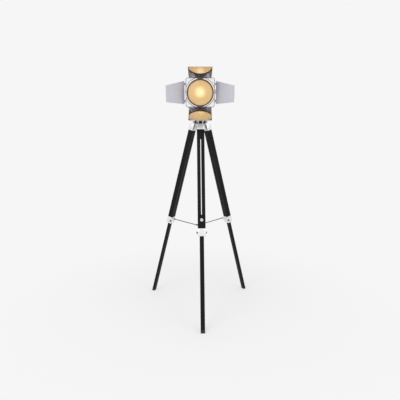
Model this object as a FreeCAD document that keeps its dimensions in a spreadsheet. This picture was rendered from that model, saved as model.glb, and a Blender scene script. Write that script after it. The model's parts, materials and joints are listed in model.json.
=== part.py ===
import FreeCAD, Part
import math
import os
import re
import Sketcher

# A tripod spotlight floor lamp: a drum-shaped lamp head with a round lens in a square plate and
# four barn doors, held in a yoke that turns on the crown of a folding, telescoping tripod.
# Lengths are millimetres and angles are degrees. +Z is up, the lens looks towards -Y, and the
# origin is on the floor under the middle of the lamp.

doc = FreeCAD.newDocument("spotlight_floor_lamp")
sizes = doc.addObject("Spreadsheet::Sheet", "Sizes")

DRIVING = [
    # tripod: where the legs start and how they stand
    ("hinge_height", 1181, "height of the leg hinges above the floor"),
    ("hinge_radius", 43, "leg hinges from the tripod's axis"),
    ("leg_spread", 15.5, "lean of each leg from upright"),
    ("leg_turn", 2.35, "turn of the tripod under the lamp head"),
    # running and seating clearances
    ("run_gap", 0.05, "radial clearance of a turning shaft"),
    ("seat_gap", 0.3, "gap between pieces that move past each other"),
    ("fit_gap", 0.1, "gap each side of a piece seated in a sleeve"),
    ("join", 1, "overlap of two shapes that are fused into one"),
    # crown
    ("crown_radius", 24, "radius of the crown's middle"),
    ("crown_top", 19, "crown's top above the hinges"),
    ("crown_drop", 52, "crown's underside below the hinges"),
    ("collar_radius", 16, "raised collar round the pan post"),
    ("collar_high", 6, "height of the raised collar"),
    ("tongue_wide", 20.4, "width of each hinge tongue"),
    ("tongue_radius", 9, "rounded end of each hinge tongue"),
    # leg caps and hinge bolts
    ("ear_thick", 4, "thickness of each ear of a leg cap"),
    ("cap_top", 20, "cap's roof below the hinge"),
    ("cap_long", 35, "length of the cap's sleeve"),
    ("sleeve_over", 1, "width of a cap or clamp beyond the leg's"),
    ("sleeve_wall", 2, "wall of a cap or clamp sleeve"),
    ("clamp_over", 4, "depth of a clamp beyond the leg's"),
    ("hinge_bolt_radius", 4, "shank of the hinge bolts"),
    ("hinge_knob_radius", 6.5, "knob of the hinge bolts"),
    ("hinge_knob_long", 8, "length of that knob"),
    ("hinge_nut_radius", 6.5, "nut of the hinge bolts, corner to centre"),
    ("hinge_nut_long", 5, "thickness of that nut"),
    # upper legs
    ("leg_wide", 45, "width of the upper leg"),
    ("leg_deep", 30, "depth of the upper leg"),
    ("leg_edge", 1.2, "rounding of the wooden edges"),
    ("slot_wide", 5.8, "see-through slot of the upper leg"),
    ("slot_head", 55, "solid wood between the cap and the slot"),
    ("slot_foot", 80, "solid wood between the slot and the clamp"),
    ("channel_gap", 0.3, "clearance of the lower leg in its channel"),
    ("channel_head", 10, "channel above the slot"),
    ("clamp_start", 653, "top of the clamp below the hinge"),
    ("clamp_long", 44, "length of the clamp"),
    ("clamp_seat", 15, "length of upper leg inside the clamp"),
    ("lug_below", 7, "rod pivot below the clamp's top"),
    ("lock_above", 49, "lock screw above the clamp's top"),
    ("lower_overlap", 70, "lower leg inside the upper one, above the clamp"),
    ("clamp_bolt_drop", 24, "clamp bolt below the clamp's top"),
    ("clamp_bolt_radius", 2.2, "shank of the clamp bolt"),
    ("clamp_knob_radius", 5.5, "knobs on the clamp bolt"),
    ("clamp_knob_long", 7, "length of those knobs"),
    ("lock_radius", 3, "shank of the lock screw"),
    ("lock_head_radius", 9, "head of the lock screw"),
    ("lock_head_thick", 5, "thickness of that head"),
    # lower legs and feet
    ("lower_wide", 24.4, "width of the lower leg"),
    ("lower_deep", 18, "depth of the lower leg"),
    ("pad_long", 14, "length of the rubber foot along the leg"),
    # spreader
    ("lug_radius", 5.5, "rounded end of the lug"),
    ("lug_thick", 4, "thickness of the lug"),
    ("lug_reach", 12.5, "rod pivot behind the clamp"),
    ("rod_side", 12, "rod's offset to the side of the axis"),
    ("rod_radius", 2.75, "radius of the spreader rods"),
    ("rod_eye_radius", 5.5, "eye at the rod's outer end"),
    ("rod_tip_radius", 5, "eye at the rod's inner end"),
    ("rod_eye_thick", 6, "thickness of both eyes"),
    ("rod_pin_radius", 2.5, "pin through the outer eye"),
    ("rod_pin_head", 4, "head of that pin"),
    ("pin_head_thick", 2, "thickness of that head"),
    ("hub_reach", 18, "inner eyes from the tripod's axis"),
    ("rod_drop", 20, "fall of each rod towards the middle"),
    ("hub_radius", 8.4, "radius of the spreader hub"),
    ("hub_long", 24, "length of the spreader hub"),
    ("hub_screw_radius", 3, "screw through the hub"),
    ("hub_nut_radius", 6, "round nut of the hub screw"),
    ("hub_nut_thick", 4, "thickness of that nut"),
    ("hub_head_thick", 3, "thickness of the screw's head on top"),
    ("hub_screw_tail", 5, "screw below the hub"),
    ("cheek_thick", 3, "thickness of the arms beside the rods"),
    # yoke and pan post
    ("tilt_down", 11, "aim of the lens below level"),
    ("yoke_thick", 4, "thickness of the yoke's strap"),
    ("yoke_wide", 26, "width of the yoke's strap"),
    ("yoke_clear", 2.5, "gap between the housing and each arm"),
    ("yoke_taper", 22.5, "floor's end inside each arm"),
    ("yoke_below", 36, "gap between the housing and the yoke's floor"),
    ("yoke_straight", 66, "straight part of the arms below the axis"),
    ("post_radius", 8, "pan post"),
    ("post_flange_radius", 15, "flange of the pan post under the yoke"),
    ("post_flange_thick", 5, "thickness of that flange"),
    ("post_deep", 26, "length of the pan post inside the crown"),
    ("post_rise", 38, "yoke's floor above the crown's collar"),
    ("shoulder_step", 3, "shoulder over the post, at its foot"),
    ("shoulder_wide", 5, "shoulder over the post, at its top"),
    ("post_cap_high", 4, "cap of the post on the yoke's floor"),
    ("pan_knob_radius", 11, "pan lock knob"),
    ("pan_knob_long", 12, "length of that knob"),
    ("pan_knob_stand", 2, "that knob off the crown"),
    ("pan_screw_radius", 3, "shank of the pan lock knob"),
    ("tilt_screw_radius", 4, "shank of the tilt screws"),
    ("tilt_head_radius", 9, "head of the plain tilt screw"),
    ("tilt_head_long", 5, "thickness of that head"),
    ("tilt_knob_radius", 14, "tilt lock knob"),
    ("tilt_knob_long", 14, "length of that knob"),
    ("knob_collar", 3, "length of the knob's collar"),
    ("trunnion_radius", 12, "pads on the housing round the tilt screws"),
    ("trunnion_long", 10, "length of those pads"),
    ("trunnion_stub", 4, "reach of those pads and screws inside the drum"),
    # housing
    ("shell_wall", 1.5, "wall of the housing"),
    ("shell_back", 62, "back end of the housing behind the tilt axis"),
    ("plate_front", 80, "front of the square plate before the tilt axis"),
    ("plate_side", 175, "side of the square plate"),
    ("plate_deep", 14, "depth of the square plate's rim"),
    ("plate_wall", 2, "sheet of the square plate"),
    ("plate_corner", 9, "corner radius of the square plate"),
    ("plate_frame", 7, "plate's edge to the lens ring, at the narrowest"),
    ("bead_wide", 2.4, "width of that pressed ring"),
    ("bead_deep", 0.9, "depth of that pressed ring"),
    ("bead_over", 2.5, "ring's outside beyond half the plate's side"),
    ("boss_inset", 11.5, "corner screws from the plate's edges"),
    ("boss_radius", 5, "bosses for the corner screws"),
    ("small_screw_radius", 1.5, "shank of the small screws"),
    ("small_head_radius", 3, "head of the small screws"),
    ("small_head_thick", 2, "thickness of those heads"),
    # lens and its ring
    ("ring_reach", 24, "lens ring's front before the square plate"),
    ("ring_wall", 2.5, "wall of the lens ring"),
    ("ring_lip", 3, "thickness of the lip that holds the lens"),
    ("ring_tail", 8, "lens ring's back behind the plate's front"),
    ("ring_flange", 3.5, "step of the ring's flange behind the plate"),
    ("ring_flange_thick", 1.5, "thickness of that flange"),
    ("ring_behind", 1.5, "housing's radius beyond the lens ring's"),
    ("lens_rest", 4.5, "seat of the lens inside the ring's wall"),
    ("lens_edge", 5, "edge thickness of the lens"),
    ("lens_dome", 12, "rise of the lens"),
    ("clip_thick", 2.5, "spring clip behind the lens"),
    ("clip_wide", 5, "width of the spring clip"),
    # light source
    ("bulb_radius", 30, "radius of the bulb"),
    ("bulb_cap_radius", 13.2, "screw cap of the bulb"),
    ("bulb_cap_long", 27, "length of the screw cap"),
    ("bulb_neck", 48, "middle of the bulb to its screw cap"),
    ("cap_out", 4, "screw cap's front before the lamp holder"),
    ("holder_radius", 20, "outside of the lamp holder"),
    ("holder_neck_radius", 12, "threaded neck of the lamp holder"),
    ("holder_neck_long", 8, "length of that neck"),
    ("holder_long", 43, "length of the lamp holder"),
    ("holder_nut_wide", 5, "nut beyond the threaded neck"),
    ("holder_nut_thick", 4, "thickness of that nut"),
    ("holder_skirt", 4, "reflector's hole behind the holder's front"),
    ("bracket_thick", 2, "thickness of the holder bracket"),
    ("bracket_wide", 30, "width of the holder bracket"),
    ("reflector_front", 69, "front of the reflector before the tilt axis"),
    ("reflector_wall", 1, "wall of the reflector"),
    ("reflector_inset", 6.5, "reflector's front inside the lens ring"),
    ("bowl_out", 0.78, "bowl's middle as a part of its front radius"),
    ("bowl_front", 0.22, "bowl's middle as a part of its front's place"),
    ("bowl_back", 0.25, "bowl's middle as a part of its back's place"),
    ("bowl_wall", 1.2, "bowl's wall at its middle as a part of the rest"),
    # rear cap, cable bush and switch
    ("rear_deep", 20, "depth of the rear cap"),
    ("rear_lap", 12, "rear cap's lip over the housing"),
    ("rear_wall", 1.5, "wall of the rear cap"),
    ("rear_round", 6, "slope round the back of the rear cap"),
    ("fitting_inset", 24, "bush and switch inside the housing's radius"),
    ("vent_long", 20, "length of the rear vents"),
    ("vent_wide", 5, "width of the rear vents"),
    ("vent_inner", 24, "inner end of the vents from the middle"),
    ("bush_bore", 3.3, "bore of the cable bush"),
    ("bush_radius", 5, "neck of the cable bush"),
    ("bush_flange", 7.5, "flanges of the cable bush"),
    ("bush_flange_thick", 2, "thickness of those flanges"),
    ("bush_end_wall", 1.2, "wall of the bush at its tip"),
    ("bush_tail", 22, "tapered tail of the cable bush"),
    ("switch_radius", 8, "switch body"),
    ("switch_long", 14, "length of the switch body"),
    ("switch_neck", 5, "threaded neck of the switch"),
    ("switch_neck_long", 3, "neck behind the rear cap"),
    ("spindle_radius", 2.5, "switch spindle"),
    ("switch_knob_radius", 8.5, "switch knob"),
    ("switch_knob_long", 10, "length of the switch knob"),
    ("knob_roof", 2, "end wall of the switch knob"),
    ("pointer_wide", 2, "width of the knob's pointer"),
    ("pointer_reach", 1.5, "pointer beyond the knob"),
    # barn doors
    ("door_axis_back", 2, "door hinges behind the plate's front"),
    ("hinge_stand", 4.5, "door hinges outside the plate's edge"),
    ("door_inset", 19, "plate's edge beyond a door's, each side"),
    ("face_hinge_out", 0.5, "top and bottom hinges outside the plate's edge"),
    ("face_hinge_front", 4.5, "top and bottom hinges before the plate's front"),
    ("face_clip_in", 8, "foot of their clips inside the hinge"),
    ("door_long", 140, "length of the top and bottom doors"),
    ("side_door_long", 150, "length of the side doors"),
    ("door_taper", 43, "narrowing of a side door to its free edge"),
    ("door_thick", 1.2, "sheet of the doors"),
    ("door_start", 3.6, "start of the sheet from its hinge"),
    ("door_angle", 64, "opening of the top and bottom doors forward from the plate"),
    ("leaf_inset", 18.5, "hinge leaves from a door's corners"),
    ("side_door_angle", 46, "opening of the side doors forward from the plate"),
    ("knuckle_radius", 3, "knuckle of a hinge leaf"),
    ("knuckle_long", 12, "length of that knuckle"),
    ("door_pin_radius", 1.5, "hinge pins of the doors"),
    ("clip_ear", 1.5, "ears and floor of a hinge clip"),
    ("clip_floor", 1.1, "floor of a hinge clip"),
    ("clip_short", 1, "plate's rim behind a hinge clip"),
    ("leaf_long", 17, "length of a hinge leaf"),
    ("rivet_place", 10, "rivets from the hinge"),
    ("rivet_radius", 1.5, "shank of the rivets"),
    ("rivet_head", 2.6, "heads of the rivets"),
    ("rivet_thick", 0.9, "thickness of those heads"),
]

# sizes that follow from the ones above, so that the pieces still fit when one of those changes
DERIVED = [
    ("sleeve_wide", "leg_wide + sleeve_over", "width of a cap or clamp across the leg"),
    ("cap_deep", "leg_deep + sleeve_over", "depth of a cap"),
    ("clamp_deep", "leg_deep + clamp_over", "depth of a clamp"),
    ("slot_start", "cap_top + cap_long + slot_head", "top of the slot below the hinge"),
    ("slot_end", "clamp_start - slot_foot", "bottom of the slot below the hinge"),
    ("channel_start", "slot_start - channel_head", "top of the inner channel below the hinge"),
    ("lock_drop", "clamp_start - lock_above", "lock screw below the hinge"),
    ("lower_start", "clamp_start - lower_overlap", "top of the lower leg below the hinge"),
    ("clamp_bolt_back", "(lower_deep/2 + channel_gap + clamp_deep/2)/2",
     "clamp bolt behind the leg's middle"),
    ("lug_drop", "clamp_start + lug_below", "rod pivot below the hinge"),
    ("lug_back", "clamp_deep/2 + lug_reach", "rod pivot behind the leg's middle"),
    ("ring_radius", "plate_side/2 - plate_frame", "outside of the lens ring"),
    ("lens_view_radius", "ring_radius - ring_wall - lens_rest", "clear radius of the lens"),
    ("bead_radius", "plate_side/2 + bead_over", "pressed ring round the lens on the plate"),
    ("boss_place", "plate_side/2 - boss_inset", "corner screws from the plate's middle"),
    ("shell_radius", "ring_radius + ring_behind", "outside of the lamp housing"),
    ("yoke_half", "shell_radius + yoke_clear", "inside of the yoke's arms from the middle"),
    ("yoke_floor_half", "yoke_half - yoke_taper", "half width of the yoke's flat floor"),
    ("yoke_drop", "shell_radius + yoke_below", "yoke's floor below the tilt axis"),
    ("collar_top", "hinge_height + crown_top + collar_high", "top of the crown's collar"),
    ("tilt_height", "collar_top + post_rise + yoke_thick + yoke_drop", "tilt axis above the floor"),
    ("reflector_front_radius", "ring_radius - reflector_inset", "front radius of the reflector"),
    ("bracket_back", "shell_back - rear_lap", "holder bracket behind the tilt axis"),
    ("holder_front", "bracket_back - holder_long", "front of the lamp holder behind the tilt axis"),
    ("bulb_cap_front", "holder_front - cap_out", "front of the screw cap behind the tilt axis"),
    ("bulb_middle", "bulb_neck - bulb_cap_front", "middle of the bulb before the tilt axis"),
    ("bush_low", "shell_radius - fitting_inset", "cable bush below the lens axis"),
    ("switch_high", "shell_radius - fitting_inset", "switch above the lens axis"),
    ("door_axis", "plate_side/2 + hinge_stand", "side doors' hinges from the lens axis"),
    ("face_door_axis", "plate_side/2 + face_hinge_out", "other doors' hinges from the lens axis"),
    ("door_wide", "plate_side - 2*door_inset", "width of a door at its hinge"),
    ("side_door_end", "door_wide - door_taper", "width of a side door at its free edge"),
    ("leaf_place", "door_wide/2 - leaf_inset", "hinge leaves from the middle of a door"),
]

for number, (alias, value, meaning) in enumerate(DRIVING, start=1):
    sizes.set(f"A{number}", meaning)
    sizes.set(f"B{number}", str(value))
    sizes.setAlias(f"B{number}", alias)
doc.recompute()
for number, (alias, formula, meaning) in enumerate(DERIVED, start=len(DRIVING) + 1):
    sizes.set(f"A{number}", meaning)
    sizes.set(f"B{number}", "=" + formula)
    sizes.setAlias(f"B{number}", alias)
    doc.recompute()

NAMES = {alias for alias, value, meaning in DRIVING + DERIVED}
WORD = re.compile(r"[a-z_]+")
X_AXIS = FreeCAD.Vector(1, 0, 0)
Y_AXIS = FreeCAD.Vector(0, 1, 0)
Z_AXIS = FreeCAD.Vector(0, 0, 1)
nodes = {}


# ---------------------------------------------------------------- small tools for the drawing


def size(alias):
    """The number in one named cell."""
    return float(sizes.get(alias))


def bound(formula):
    """The formula with every named size pointed at the sheet."""
    return WORD.sub(lambda m: "Sizes." + m.group() if m.group() in NAMES else m.group(), formula)


def put(thing, x="0", y="0", z="0"):
    """Bind the place of a shape to formulas."""
    for axis, formula in (("x", x), ("y", y), ("z", z)):
        thing.setExpression("Placement.Base." + axis, bound(formula))
    return thing


def block(wide, deep, high, x=None, y=None, z=None):
    """A box from its lowest corner; a place left out centres it."""
    box = doc.addObject("Part::Box", "Block")
    for side, formula in (("Length", wide), ("Width", deep), ("Height", high)):
        box.setExpression(side, bound(formula))
    x = f"-({wide})/2" if x is None else x
    y = f"-({deep})/2" if y is None else y
    z = f"-({high})/2" if z is None else z
    return put(box, x, y, z)


TURNS = {
    "X": FreeCAD.Rotation(Y_AXIS, 90),
    "Y": FreeCAD.Rotation(X_AXIS, -90),
    "Z": FreeCAD.Rotation(),
}


def shaft(radius, long, along="Z", x="0", y="0", z="0"):
    """A cylinder that starts at a place and runs along one axis."""
    cylinder = doc.addObject("Part::Cylinder", "Shaft")
    cylinder.setExpression("Radius", bound(radius))
    cylinder.setExpression("Height", bound(long))
    cylinder.Placement.Rotation = TURNS[along]
    return put(cylinder, x, y, z)


def taper(radius_near, radius_far, long, along="Z", x="0", y="0", z="0"):
    """A cone that starts at a place and runs along one axis."""
    cone = doc.addObject("Part::Cone", "Taper")
    cone.setExpression("Radius1", bound(radius_near))
    cone.setExpression("Radius2", bound(radius_far))
    cone.setExpression("Height", bound(long))
    cone.Placement.Rotation = TURNS[along]
    return put(cone, x, y, z)


def fuse(*shapes):
    """The shapes as one solid."""
    joined = doc.addObject("Part::MultiFuse", "Fusion")
    joined.Shapes = list(shapes)
    joined.Refine = True
    return joined


def cut(base, *tools):
    """The base with every tool taken out of it."""
    left = doc.addObject("Part::Cut", "Cut")
    left.Base = base
    left.Tool = tools[0] if len(tools) == 1 else fuse(*tools)
    left.Refine = True
    return left


def common(first, second):
    """What both shapes share."""
    shared = doc.addObject("Part::Common", "Common")
    shared.Base = first
    shared.Tool = second
    return shared


def outline(label, plane, points):
    """A body with a closed sketch through the points, each coordinate bound to its formula."""
    body = doc.addObject("PartDesign::Body", label)
    sketch = body.newObject("Sketcher::SketchObject", label + "_outline")
    face = next(item for item in body.Origin.OriginFeatures if item.Role == plane)
    sketch.AttachmentSupport = [(face, "")]
    sketch.MapMode = "FlatFace"
    # a rough polygon first, near enough for the constraints to pull it to size
    spots = [tuple(float(evaluate(formula)) for formula in point) for point in points]
    for here, there in zip(spots, spots[1:] + spots[:1]):
        line = Part.LineSegment(FreeCAD.Vector(*here, 0), FreeCAD.Vector(*there, 0))
        sketch.addGeometry(line, False)
    count = len(points)
    for index in range(count):
        sketch.addConstraint(Sketcher.Constraint("Coincident", index, 2, (index + 1) % count, 1))
    for index, (point, spot) in enumerate(zip(points, spots)):
        for kind, line, formula, value in (
            ("DistanceX", -2, point[0], spot[0]),
            ("DistanceY", -1, point[1], spot[1]),
        ):
            if value == 0:
                sketch.addConstraint(Sketcher.Constraint("PointOnObject", index, 1, line))
            else:
                number = sketch.addConstraint(Sketcher.Constraint(kind, index, 1, value))
                sketch.setExpression(f"Constraints[{number}]", bound(formula))
    return body, sketch


def evaluate(formula):
    """A formula's value, worked out by the sheet."""
    return sizes.evalExpression(bound(formula))


def pad(label, plane, points, thick):
    """A sketch padded to both sides of its plane."""
    body, sketch = outline(label, plane, points)
    feature = body.newObject("PartDesign::Pad", label + "_pad")
    feature.Profile = sketch
    feature.setExpression("Length", bound(thick))
    feature.Midplane = True
    return body


def turned(label, points):
    """A sketch of radius and place, turned all round the Y axis."""
    body, sketch = outline(label, "XY_Plane", points)
    feature = body.newObject("PartDesign::Revolution", label + "_turn")
    feature.Profile = sketch
    feature.ReferenceAxis = (sketch, ["V_Axis"])
    feature.Angle = 360
    return body


def rounded(base, radius, pick):
    """The base with the picked straight edges rounded."""
    doc.recompute()
    soft = doc.addObject("Part::Fillet", "Round")
    soft.Base = base
    edges = base.Shape.Edges
    soft.Edges = [(n, radius, radius) for n, edge in enumerate(edges, start=1) if pick(edge)]
    return soft


def runs_along(axis, least):
    """A test for straight edges along an axis that are at least so long."""

    def test(edge):
        if edge.Curve.TypeId != "Part::GeomLine" or edge.Length < least:
            return False
        return abs(edge.tangentAt(edge.FirstParameter).dot(axis)) > 0.999

    return test


def placed(things, place=None):
    """Shapes held together at a place."""
    held = doc.addObject("Part::Compound", "Held")
    held.Links = list(things)
    if place is not None:
        held.Placement = place
    return held


def node(label, things, place=None):
    """A named sub-part of the lamp."""
    things = things if isinstance(things, (list, tuple)) else [things]
    held = placed(things, place)
    held.Label = label
    nodes[label] = held
    return held


def shift(x, y, z):
    """A move without a turn."""
    return FreeCAD.Placement(FreeCAD.Vector(x, y, z), FreeCAD.Rotation())


def swing(axis, angle):
    """A turn about an axis through the origin."""
    return FreeCAD.Placement(FreeCAD.Vector(), FreeCAD.Rotation(axis, angle))


# ---------------------------------------------------------------- where the frames stand


LEG_ANGLES = {"front": 0, "left": -120, "right": 120}
FOOT_REACH = size("hinge_radius") + size("hinge_height") * math.tan(math.radians(size("leg_spread")))


def outward(side):
    """The direction from the tripod's axis to one leg, as x and y."""
    angle = math.radians(size("leg_turn") + LEG_ANGLES[side])
    return math.sin(angle), -math.cos(angle)


# the axis stands off the origin so that the feet are centred round the origin
foot_x = [FOOT_REACH * outward(side)[0] for side in LEG_ANGLES]
foot_y = [FOOT_REACH * outward(side)[1] for side in LEG_ANGLES]
AXIS = shift(-(min(foot_x) + max(foot_x)) / 2, -(min(foot_y) + max(foot_y)) / 2, 0)


def leg_frame(side):
    """Origin on the hinge, Z up along the leg, -Y outward, X along the hinge."""
    turn = swing(Z_AXIS, size("leg_turn") + LEG_ANGLES[side])
    hinge = shift(0, -size("hinge_radius"), size("hinge_height"))
    return AXIS * turn * hinge * swing(X_AXIS, -size("leg_spread"))


def crown_frame(side):
    """Origin on the hinge, Z upright, -Y outward."""
    turn = swing(Z_AXIS, size("leg_turn") + LEG_ANGLES[side])
    return AXIS * turn * shift(0, -size("hinge_radius"), size("hinge_height"))


def rod_pivot():
    """Distance from the axis and height of the rods' outer pivots."""
    spread = math.radians(size("leg_spread"))
    reach = size("hinge_radius") + size("lug_drop") * math.sin(spread)
    height = size("hinge_height") - size("lug_drop") * math.cos(spread)
    return (
        reach - size("lug_back") * math.cos(spread),
        height - size("lug_back") * math.sin(spread),
    )


PIVOT_REACH, PIVOT_HEIGHT = rod_pivot()
ROD_RUN = PIVOT_REACH - size("hub_reach")
ROD_LONG = math.hypot(ROD_RUN, size("rod_drop"))
HUB_HEIGHT = PIVOT_HEIGHT - size("rod_drop")


def rod_frame(side):
    """Origin on the rod's outer pivot, Y along the rod to the middle."""
    turn = swing(Z_AXIS, size("leg_turn") + LEG_ANGLES[side])
    fall = math.degrees(math.atan2(size("rod_drop"), ROD_RUN))
    return AXIS * turn * shift(0, -PIVOT_REACH, PIVOT_HEIGHT) * swing(X_AXIS, -fall)


YOKE = AXIS * shift(0, 0, size("tilt_height"))
HEAD = YOKE * swing(X_AXIS, size("tilt_down"))
DOOR_TURNS = {"top": 0, "bottom": 180, "left": -90, "right": 90}


def hinge_frame(side):
    """Origin on a door's hinge axis, X along it, Z away from the lens axis."""
    if side in ("top", "bottom"):
        back, high = -size("face_hinge_front"), size("face_door_axis")
    else:
        back, high = size("door_axis_back"), size("door_axis")
    out = shift(0, back - size("plate_front"), high)
    return HEAD * swing(Y_AXIS, DOOR_TURNS[side]) * out


def door_frame(side):
    """Origin on a door's hinge axis, Y along the sheet, Z towards the light."""
    name = "door_angle" if side in ("top", "bottom") else "side_door_angle"
    return hinge_frame(side) * swing(X_AXIS, 90 + size(name))


# ---------------------------------------------------------------- tripod: crown and hinges


def make_crown():
    """The casting that carries the three leg hinges and the pan post."""
    middle = shaft("crown_radius", "crown_top + crown_drop", z="hinge_height - crown_drop")
    collar = shaft("collar_radius", "collar_high", z="hinge_height + crown_top")
    tongues = []
    bores = []
    for side in LEG_ANGLES:
        place = AXIS.inverse() * crown_frame(side)
        arm = block("tongue_wide", "hinge_radius", "tongue_radius*2", y="0")
        nose = shaft("tongue_radius", "tongue_wide", "X", x="-tongue_wide/2")
        tongues.append(placed([fuse(arm, nose)], place))
        bore = shaft("hinge_bolt_radius + run_gap", "tongue_wide*2", "X", x="-tongue_wide")
        bores.append(placed([bore], place))
    socket = shaft("post_radius + run_gap", "post_deep + join", z="collar_top - post_deep")
    side_bore = shaft(
        "pan_screw_radius + run_gap", "crown_radius*2", "Y", z="hinge_height + crown_top/2"
    )
    node("crown", cut(fuse(middle, collar, *tongues), socket, side_bore, *bores), AXIS)


def make_hinge_fasteners():
    """A bolt with a round knob, and a six-sided nut, at each leg hinge."""
    out = "(tongue_wide/2 + seat_gap + ear_thick + seat_gap)"
    nuts = []
    for side in LEG_ANGLES:
        shank = shaft("hinge_bolt_radius", f"2*{out} + hinge_nut_long", "X", x=f"-{out}")
        knob = shaft("hinge_knob_radius", "hinge_knob_long", "X", x=f"-({out} + hinge_knob_long)")
        node(f"hinge_bolt_{side}", fuse(shank, knob), crown_frame(side))
        nut = doc.addObject("Part::Prism", "Nut")
        nut.Polygon = 6
        nut.setExpression("Circumradius", bound("hinge_nut_radius"))
        nut.setExpression("Height", bound("hinge_nut_long"))
        nut.Placement.Rotation = TURNS["X"]
        put(nut, x=out)
        bore = shaft("hinge_bolt_radius + run_gap", f"{out} + hinge_nut_long*2", "X")
        nuts.append(placed([cut(nut, bore)], crown_frame(side)))
    node("hinge_nuts", nuts)


# ---------------------------------------------------------------- tripod: the legs


def make_leg_cap():
    """The metal sleeve on top of a leg, with two ears round the crown's tongue."""
    sleeve = block("sleeve_wide", "cap_deep", "cap_long", z="-(cap_top + cap_long)")
    inside = block(
        "sleeve_wide - 2*sleeve_wall", "cap_deep - 2*sleeve_wall", "cap_long",
        z="-(cap_top + cap_long + sleeve_wall)",
    )
    ears = []
    inner = "tongue_wide/2 + seat_gap"
    for start in (inner, f"-({inner} + ear_thick)"):
        cheek = block(
            "ear_thick", "2*tongue_radius", "cap_top + join", x=start, z="-(cap_top + join)"
        )
        nose = shaft("tongue_radius", "ear_thick", "X", x=start)
        ears.append(fuse(cheek, nose))
    bore = shaft("hinge_bolt_radius + run_gap", "sleeve_wide", "X", x="-sleeve_wide/2")
    return cut(fuse(cut(sleeve, inside), *ears), bore)


def make_upper_leg():
    """The wooden upper leg, with its slot and the channel that the lower leg slides in."""
    tenon_wide = "sleeve_wide - 2*sleeve_wall - 2*fit_gap"
    long = "clamp_start - cap_top - cap_long - 2*fit_gap"
    beam = block("leg_wide", "leg_deep", long, z="fit_gap - clamp_start")
    beam = rounded(beam, size("leg_edge"), runs_along(Z_AXIS, 1))
    head = block(
        tenon_wide, "cap_deep - 2*sleeve_wall - 2*fit_gap", "cap_long - sleeve_wall + join",
        z="-(cap_top + cap_long + join)",
    )
    tail = block(
        tenon_wide, "cap_deep - 2*sleeve_wall - 2*fit_gap", "clamp_seat + join",
        z="-(clamp_start + clamp_seat)",
    )
    channel = block(
        "lower_wide + 2*channel_gap", "lower_deep + 2*channel_gap",
        "clamp_start + clamp_seat + join - channel_start", z="-(clamp_start + clamp_seat + join)",
    )
    slot = block("slot_wide", "leg_deep*2", "slot_end - slot_start", z="-slot_end")
    bore = shaft("lock_radius + run_gap", "leg_deep/2", "Y", y="-leg_deep/2 - join", z="-lock_drop")
    return cut(fuse(beam, head, tail), channel, slot, bore)


def make_clamp():
    """The metal clamp between upper and lower leg, with the lug and pin for the spreader rod."""
    foot = "clamp_start + clamp_long"
    body = block("sleeve_wide", "clamp_deep", "clamp_long", z=f"-({foot})")
    seat = block(
        "sleeve_wide - 2*sleeve_wall", "cap_deep - 2*sleeve_wall", "clamp_seat + fit_gap + join",
        z="-(clamp_start + clamp_seat + fit_gap)",
    )
    passage = block(
        "lower_wide + 2*channel_gap", "lower_deep + 2*channel_gap", "clamp_long*2",
        z=f"-({foot} + clamp_long)",
    )
    bolt_bore = shaft(
        "clamp_bolt_radius + run_gap", "sleeve_wide*2", "X",
        x="-sleeve_wide", y="clamp_bolt_back", z="-(clamp_start + clamp_bolt_drop)",
    )
    inner = "rod_side - rod_eye_thick/2 - seat_gap - lug_thick"
    web = block(
        "lug_thick", "lug_reach + join", "2*lug_radius",
        x=inner, y="clamp_deep/2 - join", z="-(lug_drop + lug_radius)",
    )
    nose = shaft("lug_radius", "lug_thick", "X", x=inner, y="lug_back", z="-lug_drop")
    reach = "lug_thick + rod_eye_thick + 2*seat_gap"
    pin = shaft("rod_pin_radius", f"{reach} + join", "X", x=inner, y="lug_back", z="-lug_drop")
    head = shaft(
        "rod_pin_head", "pin_head_thick", "X", x=f"{inner} + {reach}", y="lug_back", z="-lug_drop"
    )
    return fuse(cut(body, seat, passage, bolt_bore), web, nose, pin, head)


def make_clamp_bolt():
    """The bolt through a clamp, with a knob at each end."""
    place = {"y": "clamp_bolt_back", "z": "-(clamp_start + clamp_bolt_drop)"}
    outer = "sleeve_wide/2 + seat_gap"
    shank = shaft("clamp_bolt_radius", f"2*({outer})", "X", x=f"-({outer})", **place)
    left = shaft(
        "clamp_knob_radius", "clamp_knob_long", "X", x=f"-({outer} + clamp_knob_long)", **place
    )
    right = shaft("clamp_knob_radius", "clamp_knob_long", "X", x=outer, **place)
    return fuse(shank, left, right)


def make_lock_screw():
    """The short screw with a round head in the front of an upper leg."""
    face = "leg_deep/2 + seat_gap/2"
    wall = "leg_deep/2 - lower_deep/2 - 2*channel_gap"
    shank = shaft("lock_radius", wall, "Y", y=f"-({face})", z="-lock_drop")
    front = f"-({face} + lock_head_thick)"
    head = shaft("lock_head_radius", "lock_head_thick", "Y", y=front, z="-lock_drop")
    hollow = shaft(
        "lock_head_radius/2", "lock_head_thick/2 + join", "Y", y=f"{front} - join", z="-lock_drop"
    )
    return cut(fuse(head, shank), hollow)


def floor_plane():
    """Everything under the floor, as seen from a leg that leans."""
    ground = block("leg_wide*3", "leg_wide*3", "leg_wide*2", z="-leg_wide*2")
    lean = math.radians(size("leg_spread"))
    place = shift(0, 0, -size("hinge_height") / math.cos(lean)) * swing(X_AXIS, size("leg_spread"))
    return placed([ground], place)


def leg_to_floor():
    """The leg's length from its hinge to the floor, along its middle."""
    return size("hinge_height") / math.cos(math.radians(size("leg_spread")))


def make_lower_leg():
    """The wooden lower leg, which slides up into the upper one."""
    end = f"{leg_to_floor():.6f} - pad_long"
    stick = block("lower_wide", "lower_deep", f"{end} - lower_start", z=f"-({end})")
    return rounded(stick, size("leg_edge"), runs_along(Z_AXIS, 1))


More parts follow.
